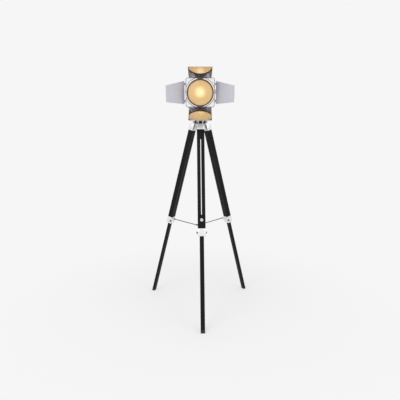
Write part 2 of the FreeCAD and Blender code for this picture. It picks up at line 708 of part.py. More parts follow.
def make_foot_pad():
    """The rubber foot, cut level with the floor."""
    end = f"{leg_to_floor():.6f} - pad_long"
    stub = block("lower_wide", "lower_deep", "pad_long*2", z=f"-({end} + pad_long*2)")
    return cut(rounded(stub, size("leg_edge"), runs_along(Z_AXIS, 1)), floor_plane())


# ---------------------------------------------------------------- tripod: spreader


def make_rod():
    """A spreader rod with an eye at each end, in its own frame."""
    long = f"{ROD_LONG:.6f}"
    bar = shaft(
        "rod_radius", f"{long} - 2*(rod_eye_radius - join)", "Y",
        x="rod_side", y="rod_eye_radius - join",
    )
    inner = "rod_side - rod_eye_thick/2"
    eye = shaft("rod_eye_radius", "rod_eye_thick", "X", x=inner)
    bore = shaft("rod_pin_radius + run_gap", "rod_eye_thick*2", "X", x="rod_side - rod_eye_thick")
    tip = shaft("rod_tip_radius", "rod_eye_thick", "X", x=inner, y=long)
    return cut(fuse(bar, eye, tip), bore)


def make_hub():
    """A slim hub inside the rods' inner ends, with an arm beside each, and its screw and nut."""
    foot = f"({HUB_HEIGHT:.6f} - hub_long/2)"
    column = shaft("hub_radius", "hub_long", z=foot)
    arms = []
    for side in LEG_ANGLES:
        arm = block(
            "cheek_thick", "hub_reach + rod_tip_radius - hub_radius/4", "2*rod_tip_radius",
            x="rod_side - rod_eye_thick/2 - seat_gap - cheek_thick",
            y="-(hub_reach + rod_tip_radius)", z=f"{HUB_HEIGHT:.6f} - rod_tip_radius",
        )
        turn = swing(Z_AXIS, size("leg_turn") + LEG_ANGLES[side])
        arms.append(placed([arm], turn))
    bore = shaft("hub_screw_radius + fit_gap", "hub_long*2", z=f"{foot} - hub_long/2")
    node("spreader_hub", cut(fuse(column, *arms), bore), AXIS)
    shank = shaft("hub_screw_radius", "hub_long + hub_screw_tail", z=f"{foot} - hub_screw_tail")
    head = taper("hub_nut_radius", "hub_nut_radius*0.7", "hub_head_thick", z=f"{foot} + hub_long")
    nut = shaft("hub_nut_radius", "hub_nut_thick", z=f"{foot} - hub_nut_thick")
    node("hub_screw", fuse(shank, head, nut), AXIS)


def make_tripod():
    """Every piece below the yoke."""
    make_crown()
    make_hinge_fasteners()
    pieces = {
        "leg_cap": make_leg_cap(),
        "upper_leg": make_upper_leg(),
        "leg_clamp": make_clamp(),
        "clamp_bolt": make_clamp_bolt(),
        "lock_screw": make_lock_screw(),
        "lower_leg": make_lower_leg(),
        "foot_pad": make_foot_pad(),
    }
    rod = make_rod()
    for side in LEG_ANGLES:
        for name, piece in pieces.items():
            node(f"{name}_{side}", piece, leg_frame(side))
        node(f"spreader_rod_{side}", rod, rod_frame(side))
    make_hub()


# ---------------------------------------------------------------- yoke, pan post and tilt screws


def make_yoke():
    """The bent strap that carries the lamp head by its sides."""
    lean = "atan((yoke_half - yoke_floor_half)/(yoke_drop - yoke_straight))"
    shoulder = f"(yoke_straight + yoke_thick*tan({lean}/2))"
    corner = f"(yoke_floor_half + yoke_thick*tan((90 deg - {lean})/2))"
    outer = "(yoke_half + yoke_thick)"
    floor = "(yoke_drop + yoke_thick)"
    right = [(outer, "0"), (outer, f"-{shoulder}"), (corner, f"-{floor}")]
    right_in = [
        ("yoke_floor_half", "-yoke_drop"), ("yoke_half", "-yoke_straight"), ("yoke_half", "0"),
    ]
    left = [(f"-{x}", z) for x, z in reversed(right)]
    left_in = [(f"-{x}", z) for x, z in reversed(right_in)]
    strap = pad("yoke_strap", "XZ_Plane", right + left + left_in + right_in, "yoke_wide")
    discs = [
        shaft("yoke_wide/2", "yoke_thick", "X", x="yoke_half"),
        shaft("yoke_wide/2", "yoke_thick", "X", x="-(yoke_half + yoke_thick)"),
    ]
    across = shaft("tilt_screw_radius + run_gap", "yoke_half*4", "X", x="-yoke_half*2")
    down = shaft("post_radius + fit_gap", "yoke_thick*3", z="-(yoke_drop + yoke_thick*2)")
    node("yoke", cut(fuse(strap, *discs), across, down), YOKE)


def make_pan_post():
    """The post that the yoke turns on, and the knob that locks it."""
    floor = "(collar_top + post_rise)"
    post = shaft(
        "post_radius", f"{floor} + yoke_thick - collar_top + post_deep - seat_gap",
        z="collar_top - post_deep + seat_gap",
    )
    flange = shaft("post_flange_radius", "post_flange_thick", z=f"{floor} - post_flange_thick")
    shoulder = taper(
        "post_radius + shoulder_step", "post_radius + shoulder_wide",
        "post_rise - post_flange_thick - seat_gap", z="collar_top + seat_gap",
    )
    cap = taper(
        "post_flange_radius*0.8", "post_flange_radius*0.6", "post_cap_high", z=f"{floor} + yoke_thick"
    )
    node("pan_post", fuse(post, flange, shoulder, cap), AXIS)
    height = "hinge_height + crown_top/2"
    start = "crown_radius + pan_knob_stand"
    shank = shaft(
        "pan_screw_radius", f"{start} + join - post_radius", "Y", y="post_radius + seat_gap", z=height
    )
    knob = shaft("pan_knob_radius", "pan_knob_long", "Y", y=start, z=height)
    node("pan_knob", fuse(shank, knob), AXIS)


def make_tilt_screws():
    """A plain screw on the left and a locking knob on the right of the yoke."""
    start = "(shell_radius - shell_wall - trunnion_stub)"
    face = "(yoke_half + yoke_thick + seat_gap)"
    long = f"{face} + join - {start}"
    shank = shaft("tilt_screw_radius", long, "X", x=f"-({face} + join)")
    head = shaft("tilt_head_radius", "tilt_head_long", "X", x=f"-({face} + tilt_head_long)")
    node("tilt_screw", fuse(shank, head), HEAD)
    shank = shaft("tilt_screw_radius", long, "X", x=start)
    collar = taper("tilt_knob_radius*0.6", "tilt_knob_radius*0.7", "knob_collar", "X", x=face)
    knob = shaft("tilt_knob_radius", "tilt_knob_long - knob_collar", "X", x=f"{face} + knob_collar")
    node("tilt_knob", fuse(shank, collar, knob), HEAD)


# ---------------------------------------------------------------- lamp housing


def ring(outer, inner, long, y):
    """A tube along the lens axis."""
    bore = shaft(inner, f"({long})*3", "Y", y=f"{y} - ({long})")
    return cut(shaft(outer, long, "Y", y=y), bore)


CORNERS = [(x, z) for x in ("boss_place", "-boss_place") for z in ("boss_place", "-boss_place")]
REAR_SCREW_ANGLES = (60, 180, 300)
REAR_PLACE = "shell_back - rear_lap/2"
REAR_FACE = "(shell_back - rear_lap + rear_deep)"
REAR_INSIDE = f"({REAR_FACE} - rear_wall)"
VENTS = 12


def make_face_plate():
    """The square pressed plate round the lens, with a rim and four bosses behind it."""
    tray = block("plate_side", "plate_deep", "plate_side", y="-plate_front")
    tray = rounded(tray, size("plate_corner"), runs_along(Y_AXIS, 1))
    inner = "plate_side - 2*plate_wall"
    floor = "(plate_wall - plate_front)"
    hollow = block(inner, "plate_deep", inner, y=floor)
    hollow = rounded(hollow, size("plate_corner") - size("plate_wall"), runs_along(Y_AXIS, 1))
    hole = shaft("ring_radius + fit_gap", "plate_deep*3", "Y", y="-plate_front - plate_deep")
    bead = ring(
        "bead_radius", "bead_radius - bead_wide", "bead_deep*2", "-plate_front - bead_deep"
    )
    back = "plate_deep - plate_wall - shell_wall - fit_gap"
    bosses = []
    for x, z in CORNERS:
        boss = shaft("boss_radius", f"{back} + join", "Y", x=x, y=f"{floor} - join", z=z)
        bore = shaft("small_screw_radius + fit_gap", "plate_deep", "Y", x=x, y=floor, z=z)
        bosses.append(cut(boss, bore))
    node("face_plate", fuse(cut(tray, hollow, hole, bead), *bosses), HEAD)


def make_shell():
    """The drum housing, with a square flange in front and pads for the tilt screws."""
    front = "(plate_deep - shell_wall - plate_front)"
    tube = shaft("shell_radius", f"shell_back - {front}", "Y", y=front)
    inner = "plate_side - 2*plate_wall - 2*fit_gap"
    flange = block(inner, "shell_wall", inner, y=front)
    flange = rounded(flange, size("plate_corner") - size("plate_wall"), runs_along(Y_AXIS, 1))
    face = "(yoke_half - seat_gap)"
    pads = [
        shaft("trunnion_radius", "trunnion_long", "X", x=f"{face} - trunnion_long"),
        shaft("trunnion_radius", "trunnion_long", "X", x=f"-{face}"),
    ]
    hollow = shaft("shell_radius - shell_wall", "shell_radius*4", "Y", y="-shell_radius*2")
    # the pads keep only a short stub inside the drum
    stubs = shaft("trunnion_radius", "shell_radius*4", "X", x="-shell_radius*2")
    clear = shaft(
        "shell_radius - shell_wall - trunnion_stub", "shell_radius*4", "Y", y="-shell_radius*2"
    )
    across = shaft("tilt_screw_radius + run_gap", "shell_radius*4", "X", x="-shell_radius*2")
    bores = [
        shaft("small_screw_radius + fit_gap", "plate_front*2", "Y", x=x, y="-plate_front*1.5", z=z)
        for x, z in CORNERS
    ]
    for angle in REAR_SCREW_ANGLES:
        bores.append(placed([rear_screw_bore()], swing(Y_AXIS, angle)))
    shell = cut(fuse(tube, flange, *pads), cut(hollow, stubs), across, *bores)
    node("housing_shell", cut(shell, clear), HEAD)


def make_plate_screws():
    """Four small screws that hold the housing to the square plate from behind."""
    tip = "plate_wall - plate_front + join"
    long = "plate_deep - plate_wall - join"
    screws = []
    for x, z in CORNERS:
        shank = shaft("small_screw_radius", long, "Y", x=x, y=tip, z=z)
        head = shaft(
            "small_head_radius", "small_head_thick", "Y", x=x, y="plate_deep - plate_front", z=z
        )
        screws.append(fuse(shank, head))
    node("plate_screws", screws, HEAD)


def rear_screw_bore():
    """The hole for one small screw through the rear cap's lip and the housing."""
    return shaft("small_screw_radius + fit_gap", "shell_radius*2", y=REAR_PLACE)


def make_rear_cap():
    """The cap that closes the back of the housing, with its vents."""
    lip = "(shell_radius + fit_gap)"
    outer = f"({lip} + rear_wall)"
    front = "(shell_back - rear_lap)"
    step = "(shell_radius - rear_round)"
    cap = turned("rear_cap_shape", [
        ("0", REAR_INSIDE), (f"{step} - rear_wall/2", REAR_INSIDE),
        (lip, f"{REAR_FACE} - rear_round - rear_wall/2"), (lip, front), (outer, front),
        (outer, f"{REAR_FACE} - rear_round"), (step, REAR_FACE), ("0", REAR_FACE),
    ])
    through = f"{REAR_FACE} - rear_deep"
    vents = []
    for index in range(VENTS):
        vent = block("vent_wide", "rear_deep*2", "vent_long", y=through, z="vent_inner")
        vents.append(placed([vent], swing(Y_AXIS, 360 * (index + 0.5) / VENTS)))
    bush = shaft("bush_radius + fit_gap", "rear_deep*2", "Y", y=through, z="-bush_low")
    neck = shaft("switch_neck + fit_gap", "rear_deep*2", "Y", y=through, z="switch_high")
    bores = [placed([rear_screw_bore()], swing(Y_AXIS, angle)) for angle in REAR_SCREW_ANGLES]
    node("rear_cap", cut(cap, bush, neck, *vents, *bores), HEAD)
    start = "(shell_radius - shell_wall - small_head_radius)"
    screws = []
    for angle in REAR_SCREW_ANGLES:
        shank = shaft("small_screw_radius", f"{outer} + join - {start}", y=REAR_PLACE, z=start)
        head = shaft("small_head_radius", "small_head_thick", y=REAR_PLACE, z=outer)
        screws.append(placed([fuse(shank, head)], swing(Y_AXIS, angle)))
    node("rear_screws", screws, HEAD)


def make_cable_bush():
    """The rubber bush in the rear cap that a mains lead goes through."""
    low = {"z": "-bush_low"}
    neck = shaft("bush_radius", "rear_wall + 2*join", "Y", y=f"{REAR_INSIDE} - join", **low)
    outside = shaft("bush_flange", "bush_flange_thick", "Y", y=REAR_FACE, **low)
    inside = shaft(
        "bush_flange", "bush_flange_thick", "Y", y=f"{REAR_INSIDE} - bush_flange_thick", **low
    )
    tail = taper(
        "bush_flange*0.85", "bush_bore + bush_end_wall", "bush_tail", "Y",
        y=f"{REAR_FACE} + bush_flange_thick", **low,
    )
    bore = shaft("bush_bore", "bush_tail*3", "Y", y=f"{REAR_INSIDE} - bush_tail", **low)
    node("cable_bush", cut(fuse(neck, outside, inside, tail), bore), HEAD)


def make_switch():
    """The turn switch in the rear cap, and its knob."""
    high = {"z": "switch_high"}
    body = shaft("switch_radius", "switch_long", "Y", y=f"{REAR_INSIDE} - switch_long", **high)
    neck = shaft(
        "switch_neck", "rear_wall + switch_neck_long + join", "Y", y=f"{REAR_INSIDE} - join", **high
    )
    start = "switch_neck_long + seat_gap"
    reach = f"{start} + switch_knob_long - knob_roof - seat_gap"
    spindle = shaft("spindle_radius", f"rear_wall + {reach}", "Y", y=REAR_INSIDE, **high)
    node("switch_body", fuse(body, neck, spindle), HEAD)
    foot = f"{REAR_FACE} + {start}"
    knob = shaft("switch_knob_radius", "switch_knob_long", "Y", y=foot, **high)
    bore = shaft(
        "spindle_radius + run_gap", "switch_knob_long - knob_roof + join", "Y",
        y=f"{foot} - join", **high,
    )
    pointer = block(
        "pointer_wide", "switch_knob_long", "switch_knob_radius + pointer_reach", y=foot, **high
    )
    node("switch_knob", cut(fuse(knob, pointer), bore), HEAD)


# ---------------------------------------------------------------- lens and light source


def make_lens_ring():
    """The dark ring that holds the lens, flanged behind the square plate."""
    bore = "ring_radius - ring_wall"
    front = "(plate_front + ring_reach)"
    behind = "(plate_front - plate_wall - fit_gap)"
    body = turned("lens_ring_shape", [
        ("lens_view_radius", f"-{front}"), ("ring_radius", f"-{front}"),
        ("ring_radius", f"-{behind}"), ("ring_radius + ring_flange", f"-{behind}"),
        ("ring_radius + ring_flange", f"ring_flange_thick - {behind}"),
        ("ring_radius", f"ring_flange_thick - {behind}"),
        ("ring_radius", "ring_tail - plate_front"), (bore, "ring_tail - plate_front"),
        (bore, f"ring_lip - {front}"), ("lens_view_radius", f"ring_lip - {front}"),
    ])
    node("lens_ring", body, HEAD)


def make_lens():
    """The thick frosted lens with a domed front, and the spring clip behind it."""
    seat = "(plate_front + ring_reach - ring_lip)"
    edge = "(ring_radius - ring_wall - fit_gap*2)"
    view = "(lens_view_radius - fit_gap*2)"
    disc = shaft(edge, "lens_edge", "Y", y=f"fit_gap - {seat}")
    curve = f"(({view}*{view} + lens_dome*lens_dome)/(2*lens_dome))"
    ball = doc.addObject("Part::Sphere", "Dome")
    ball.setExpression("Radius", bound(curve))
    put(ball, y=f"fit_gap - {seat} - lens_dome + {curve}")
    core = shaft(view, "lens_dome*2 + join", "Y", y=f"fit_gap - {seat} - lens_dome*2")
    node("lens", fuse(disc, common(core, ball)), HEAD)
    back = f"fit_gap*2 + lens_edge - {seat}"
    node("lens_clip", ring(edge, f"{edge} - clip_wide", "clip_thick", back), HEAD)


def make_reflector():
    """A thin bowl behind the lens, round the bulb."""
    front = -size("reflector_front")
    back = size("holder_front") + size("holder_skirt")
    start = FreeCAD.Vector(size("reflector_front_radius"), front, 0)
    end = FreeCAD.Vector(size("holder_radius") + size("seat_gap"), back, 0)
    along = front * size("bowl_front") + back * size("bowl_back")
    middle = FreeCAD.Vector(start.x * size("bowl_out"), along, 0)
    wall = FreeCAD.Vector(size("reflector_wall"), 0, 0)
    inner = Part.Arc(start, middle, end).toShape()
    outer = Part.Arc(end + wall, middle + wall * size("bowl_wall"), start + wall).toShape()
    rim = Part.LineSegment(start + wall, start).toShape()
    hem = Part.LineSegment(end, end + wall).toShape()
    profile = Part.Face(Part.Wire([inner, hem, outer, rim]))
    bowl = doc.addObject("Part::Feature", "Bowl")
    bowl.Shape = profile.revolve(FreeCAD.Vector(), Y_AXIS, 360)
    node("reflector", bowl, HEAD)


def make_bulb():
    """A round bulb with its screw cap."""
    ball = doc.addObject("Part::Sphere", "Globe")
    ball.setExpression("Radius", bound("bulb_radius"))
    put(ball, y="-bulb_middle")
    neck = taper(
        "bulb_radius*0.86", "bulb_cap_radius - join", "bulb_neck - bulb_radius/2",
        "Y", y="bulb_radius/2 - bulb_middle",
    )
    cap = shaft("bulb_cap_radius", "bulb_cap_long", "Y", y="bulb_cap_front")
    node("bulb", [fuse(ball, neck), cap], HEAD)


def make_holder():
    """The lamp holder with its threaded neck, and the strap that carries it."""
    body = shaft("holder_radius", "holder_long", "Y", y="holder_front")
    neck = shaft("holder_neck_radius", "bracket_thick + holder_neck_long", "Y", y="bracket_back")
    nut = ring(
        "holder_neck_radius + holder_nut_wide", "holder_neck_radius", "holder_nut_thick",
        "bracket_back + bracket_thick",
    )
    bore = shaft(
        "bulb_cap_radius + seat_gap", "bulb_cap_long - cap_out + seat_gap + join", "Y",
        y="holder_front - join",
    )
    node("lamp_holder", cut(fuse(body, neck, nut), bore), HEAD)
    strap = block("shell_radius*2", "bracket_thick", "bracket_wide", y="bracket_back")
    drum = shaft("shell_radius - shell_wall - fit_gap", "shell_radius*2", "Y")
    hole = shaft(
        "holder_neck_radius + fit_gap", "bracket_thick*5", "Y", y="bracket_back - bracket_thick"
    )
    node("holder_bracket", cut(common(strap, drum), hole), HEAD)


# ---------------------------------------------------------------- barn doors


def hinge_clip(foot_deep, foot_high, y, z, ear_deep, ear_high, ear_y, ear_z):
    """A clip of two ears on a foot, with a bore for the hinge pin."""
    ear_in = "(knuckle_long/2 + seat_gap)"
    half = f"({ear_in} + clip_ear)"
    parts = [block(f"2*{half}", foot_deep, foot_high, y=y, z=z)]
    for start in (ear_in, f"-{half}"):
        parts.append(shaft("knuckle_radius", "clip_ear", "X", x=start))
        parts.append(block("clip_ear", ear_deep, ear_high, x=start, y=ear_y, z=ear_z))
    bore = shaft("door_pin_radius", "knuckle_long*3", "X", x="-knuckle_long*1.5")
    pin = shaft("door_pin_radius", f"2*({half} + seat_gap)", "X", x=f"-({half} + seat_gap)")
    return [cut(fuse(*parts), bore), pin]


def make_hinge_clips():
    """Two small clips with their pins on each side of the square plate."""
    rim_clip = hinge_clip(
        "plate_deep - door_axis_back - clip_short", "clip_floor",
        "0", "-hinge_stand",
        "2*knuckle_radius", "hinge_stand", "-knuckle_radius", "-hinge_stand",
    )
    face_clip = hinge_clip(
        "clip_floor", "face_clip_in - face_hinge_out",
        "face_hinge_front - clip_floor", "-face_clip_in",
        "face_hinge_front", "knuckle_radius*2 - face_hinge_out", "0", "-knuckle_radius*2",
    )
    pairs = []
    for side in DOOR_TURNS:
        clip = face_clip if side in ("top", "bottom") else rim_clip
        frame = HEAD.inverse() * hinge_frame(side)
        for place in (-size("leaf_place"), size("leaf_place")):
            pairs.append(placed(clip, frame * shift(place, 0, 0)))
    node("door_hinge_clips", pairs, HEAD)


def make_leaves():
    """The two riveted hinge leaves of one door, in the door's frame."""
    under = "-(1.5*door_thick + fit_gap/2)"
    knuckle = shaft("knuckle_radius", "knuckle_long", "X", x="-knuckle_long/2")
    flap = block("knuckle_long", "leaf_long", "door_thick", y="0", z=under)
    bore = shaft("door_pin_radius + run_gap", "knuckle_long*3", "X", x="-knuckle_long*1.5")
    hole = shaft("rivet_radius", "door_thick*8", y="rivet_place", z="-door_thick*4")
    leaf = cut(fuse(knuckle, flap), bore, hole)
    shank = shaft("rivet_radius", "2*door_thick + fit_gap/2", y="rivet_place", z=under)
    front = shaft("rivet_head", "rivet_thick", y="rivet_place", z="door_thick/2")
    back = shaft("rivet_head", "rivet_thick", y="rivet_place", z=f"{under} - rivet_thick")
    rivet = fuse(shank, front, back)
    places = (-size("leaf_place"), size("leaf_place"))
    return [placed([leaf, rivet], shift(place, 0, 0)) for place in places]


def make_door(label, end_wide, long):
    """One door's sheet, with holes for its rivets."""
    sheet = pad(label, "XY_Plane", [
        ("-door_wide/2", "door_start"), ("door_wide/2", "door_start"),
        (f"{end_wide}/2", long), (f"-{end_wide}/2", long),
    ], "door_thick")
    holes = [
        shaft("rivet_radius", "door_thick*4", x=x, y="rivet_place", z="-door_thick*2")
        for x in ("leaf_place", "-leaf_place")
    ]
    return cut(sheet, *holes)


def make_doors():
    """Four barn doors: two straight ones above and below, and two tapered ones at the sides."""
    leaves = make_leaves()
    straight = make_door("straight_door", "door_wide", "door_long")
    tapered = make_door("tapered_door", "side_door_end", "side_door_long")
    for side in DOOR_TURNS:
        sheet = straight if side in ("top", "bottom") else tapered
        node(f"door_{side}", sheet, door_frame(side))
        node(f"door_leaves_{side}", leaves, door_frame(side))


def make_head():
    """Every piece above the yoke."""
    make_face_plate()
    make_shell()
    make_plate_screws()
    make_rear_cap()
    make_cable_bush()
    make_switch()
    make_lens_ring()
    make_lens()
    make_reflector()
    make_bulb()
    make_holder()
    make_hinge_clips()
    make_doors()


# ---------------------------------------------------------------- build, test and write


make_tripod()
make_yoke()
make_pan_post()
make_tilt_screws()
make_head()
doc.recompute()

for thing in doc.Objects:
    if "Invalid" in thing.State or "Error" in thing.State:
        raise RuntimeError(f"{thing.Label} could not be built: {thing.State}")
for label, held in nodes.items():
    if held.Shape.isNull() or not held.Shape.isValid() or not held.Shape.Solids:
        raise RuntimeError(f"{label} has no sound shape")
os.makedirs("parts", exist_ok=True)
for label, held in nodes.items():
    held.Shape.exportStep(os.path.join("parts", label + ".step"))
print(len(nodes), "sub-parts written")
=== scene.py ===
import json
import math

import bpy
from mathutils import Matrix, Vector


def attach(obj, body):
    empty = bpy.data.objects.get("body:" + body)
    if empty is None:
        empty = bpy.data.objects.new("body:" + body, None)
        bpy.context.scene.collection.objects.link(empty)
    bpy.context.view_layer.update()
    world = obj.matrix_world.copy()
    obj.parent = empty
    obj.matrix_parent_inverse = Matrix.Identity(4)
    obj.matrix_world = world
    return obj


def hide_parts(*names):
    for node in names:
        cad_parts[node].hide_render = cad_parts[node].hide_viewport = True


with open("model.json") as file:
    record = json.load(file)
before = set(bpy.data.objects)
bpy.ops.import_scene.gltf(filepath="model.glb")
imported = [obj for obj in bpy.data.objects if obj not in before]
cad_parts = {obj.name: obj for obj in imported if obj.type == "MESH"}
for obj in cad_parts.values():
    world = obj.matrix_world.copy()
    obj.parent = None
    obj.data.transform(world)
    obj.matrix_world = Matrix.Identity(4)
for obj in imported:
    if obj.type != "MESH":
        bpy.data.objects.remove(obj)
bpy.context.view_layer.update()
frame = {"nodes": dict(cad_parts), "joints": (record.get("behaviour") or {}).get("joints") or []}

nodes = frame["nodes"]
joints = {joint["name"]: joint for joint in frame["joints"]}

# A tripod spotlight floor lamp. Lengths are metres; the lens looks towards -Y and +Z is up.

# Degrees: each leg's turn about Z, each door's place round the lens and how far it stands
# open beyond square to the plate, the legs' lean from upright and the lens's aim below level.
LEGS = {"front": 2.35, "left": -117.65, "right": 122.35}
DOORS = {"top": 0, "bottom": 180, "left": -90, "right": 90}
DOOR_OPEN = {"top": 64, "bottom": 64, "left": 46, "right": 46}
LEAN = 15.5
AIM = 11


# ------------------------------------------------------------------ where things are


def joint_place(name):
    """The point that a joint turns about."""
    return Vector(joints[name]["pos_m"])


TILT = joint_place("tilt")
HEAD = Matrix.Translation(TILT) @ Matrix.Rotation(math.radians(AIM), 4, "X")


def leg_place(side):
    """Origin on a leg's hinge, Z up along the leg, -Y away from the middle."""
    turn = Matrix.Rotation(math.radians(LEGS[side]), 4, "Z")
    lean = Matrix.Rotation(math.radians(-LEAN), 4, "X")
    return Matrix.Translation(joint_place("leg_fold_" + side)) @ turn @ lean


def door_place(side):
    """Origin on a door's hinge, X along it, Y along the sheet, Z towards the light."""
    turn = Matrix.Rotation(math.radians(DOORS[side]), 4, "Y")
    swing = Matrix.Rotation(math.radians(90 + DOOR_OPEN[side]), 4, "X")
    around = Matrix.Rotation(math.radians(AIM), 4, "X")
    return Matrix.Translation(joint_place("door_swing_" + side)) @ around @ turn @ swing


# ------------------------------------------------------------------ camera, floor and light

CAMERA_PLACE = (0.0067, -2.104, 1.085)
CAMERA_DIP = 0.1
CAMERA_LENS = 30.99
CAMERA_SHIFT = -0.0713

bpy.ops.object.camera_add(location=CAMERA_PLACE, rotation=(math.pi / 2 - CAMERA_DIP, 0, 0))
camera = bpy.context.object
camera.data.lens = CAMERA_LENS
camera.data.sensor_width = 36
camera.data.shift_y = CAMERA_SHIFT
bpy.context.scene.camera = camera

bpy.context.scene.view_settings.view_transform = "Standard"


def new_tree(name):
    """An empty material's node tree, with its output."""
    material = bpy.data.materials.new(name)
    material.use_nodes = True
    tree = material.node_tree
    tree.nodes.clear()
    output = tree.nodes.new("ShaderNodeOutputMaterial")
    return material, tree, output


def add(tree, kind, **settings):
    """A node of a kind, with its settings and plain input values."""
    node = tree.nodes.new("ShaderNode" + kind)
    for name, value in settings.items():
        if hasattr(node, name):
            setattr(node, name, value)
        else:
            node.inputs[name.replace("_", " ")].default_value = value
    return node


def join(tree, out_socket, in_socket):
    """A link between two sockets."""
    tree.links.new(out_socket, in_socket)


PALE = (0.921, 0.921, 0.921, 1)


def seen_directly(tree):
    """1 for what the camera, a mirror or clear glass sees, and 0 for light that falls on things."""
    path = add(tree, "LightPath")
    first = add(tree, "Math", operation="MAXIMUM")
    join(tree, path.outputs["Is Camera Ray"], first.inputs[0])
    join(tree, path.outputs["Is Glossy Ray"], first.inputs[1])
    second = add(tree, "Math", operation="MAXIMUM")
    join(tree, first.outputs[0], second.inputs[0])
    join(tree, path.outputs["Is Transmission Ray"], second.inputs[1])
    return second.outputs[0]


def light_the_room():
    """A pale room all round that lights the lamp softly."""
    world = bpy.data.worlds.new("studio")
    bpy.context.scene.world = world
    world.use_nodes = True
    tree = world.node_tree
    tree.nodes.clear()
    output = tree.nodes.new("ShaderNodeOutputWorld")
    shown = add(tree, "Background", Color=PALE, Strength=1)
    falling = add(tree, "Background", Color=(1, 1, 1, 1), Strength=0.72)
    mix = add(tree, "MixShader")
    join(tree, seen_directly(tree), mix.inputs[0])
    join(tree, falling.outputs[0], mix.inputs[1])
    join(tree, shown.outputs[0], mix.inputs[2])
    join(tree, mix.outputs[0], output.inputs[0])


def soft_light(name, place, target, size, power):
    """A square soft light aimed at a point."""
    bpy.ops.object.light_add(type="AREA", location=place)
    lamp = bpy.context.object
    lamp.name = name
    lamp.data.energy = power
    lamp.data.size = size
    lamp.rotation_euler = (Vector(target) - Vector(place)).to_track_quat("-Z", "Y").to_euler()


def lay_the_floor():
    """A pale floor that keeps the lamp's shadow and runs into the pale room."""
    bpy.ops.mesh.primitive_plane_add(size=24, location=(0, 0, 0))
    floor = bpy.context.object
    floor.name = "floor"
    material, tree, output = new_tree("pale_floor")
    matt = add(tree, "BsdfDiffuse", Color=(0.96, 0.96, 0.96, 1))
    plain = add(tree, "Emission", Color=PALE, Strength=1)
    place = add(tree, "TexCoord")
    reach = add(tree, "VectorMath", operation="LENGTH")
    join(tree, place.outputs["Object"], reach.inputs[0])
    fade = add(tree, "MapRange", interpolation_type="SMOOTHSTEP")
    fade.inputs["From Min"].default_value = 0.25
    fade.inputs["From Max"].default_value = 1.4
    fade.inputs["To Min"].default_value = 0.5
    join(tree, reach.outputs["Value"], fade.inputs["Value"])
    both = add(tree, "Math", operation="MULTIPLY")
    join(tree, fade.outputs[0], both.inputs[0])
    join(tree, seen_directly(tree), both.inputs[1])
    mix = add(tree, "MixShader")
    join(tree, both.outputs[0], mix.inputs[0])
    join(tree, matt.outputs[0], mix.inputs[1])
    join(tree, plain.outputs[0], mix.inputs[2])
    join(tree, mix.outputs[0], output.inputs[0])
    floor.data.materials.append(material)


light_the_room()
lay_the_floor()
LIGHTS_AIM = (0, 0, 0.9)
LIGHTS_SIZE = 1.6
soft_light("key", (-1.6, -2.2, 2.6), LIGHTS_AIM, LIGHTS_SIZE, 26)
soft_light("fill", (1.9, -1.8, 1.9), LIGHTS_AIM, LIGHTS_SIZE, 12)


# ------------------------------------------------------------------ effects that finishes share


def new_group(name, takes, gives):
    """A node group with named inputs and outputs."""
    group = bpy.data.node_groups.new(name, "ShaderNodeTree")
    for label, kind, value in takes:
        socket = group.interface.new_socket(label, in_out="INPUT", socket_type="NodeSocket" + kind)
        if value is not None:
            socket.default_value = value
    for label, kind in gives:
        group.interface.new_socket(label, in_out="OUTPUT", socket_type="NodeSocket" + kind)
    return group, group.nodes.new("NodeGroupInput"), group.nodes.new("NodeGroupOutput")


def make_blotches():
    """Soft uneven patches, such as handling leaves on paint and metal."""
    group, inside, outside = new_group(
        "blotches",
        [
            ("Vector", "Vector", None), ("Scale", "Float", 14),
            ("Low", "Float", 0.3), ("High", "Float", 0.4),
        ],
        [("Value", "Float"), ("Mask", "Float")],
    )
    noise = add(group, "TexNoise", Detail=5, Roughness=0.55)
    join(group, inside.outputs["Vector"], noise.inputs["Vector"])
    join(group, inside.outputs["Scale"], noise.inputs["Scale"])
    spread = add(group, "MapRange")
    spread.inputs["From Min"].default_value = 0.3
    spread.inputs["From Max"].default_value = 0.7
    join(group, noise.outputs["Fac"], spread.inputs["Value"])
    join(group, inside.outputs["Low"], spread.inputs["To Min"])
    join(group, inside.outputs["High"], spread.inputs["To Max"])
    join(group, spread.outputs[0], outside.inputs["Value"])
    join(group, noise.outputs["Fac"], outside.inputs["Mask"])
    return group


def make_edge_wear():
    """A mask along the edges, broken up by noise, and a normal that rounds them."""
    group, inside, outside = new_group(
        "edge_wear",
        [("Vector", "Vector", None), ("Width", "Float", 0.0012), ("Scale", "Float", 60)],
        [("Mask", "Float"), ("Normal", "Vector")],
    )
    soft = add(group, "Bevel", samples=4)
    join(group, inside.outputs["Width"], soft.inputs["Radius"])
    flat = add(group, "NewGeometry")
    lean = add(group, "VectorMath", operation="DOT_PRODUCT")
    join(group, soft.outputs[0], lean.inputs[0])
    join(group, flat.outputs["Normal"], lean.inputs[1])
    edge = add(group, "MapRange")
    edge.inputs["From Min"].default_value = 0.985
    edge.inputs["From Max"].default_value = 0.8
    join(group, lean.outputs["Value"], edge.inputs["Value"])
    noise = add(group, "TexNoise", Detail=4, Roughness=0.7)
    join(group, inside.outputs["Vector"], noise.inputs["Vector"])
    join(group, inside.outputs["Scale"], noise.inputs["Scale"])
    broken = add(group, "MapRange")
    broken.inputs["From Min"].default_value = 0.42
    broken.inputs["From Max"].default_value = 0.62
    join(group, noise.outputs["Fac"], broken.inputs["Value"])
    both = add(group, "Math", operation="MULTIPLY")
    join(group, edge.outputs[0], both.inputs[0])
    join(group, broken.outputs[0], both.inputs[1])
    join(group, both.outputs[0], outside.inputs["Mask"])
    join(group, soft.outputs[0], outside.inputs["Normal"])
    return group


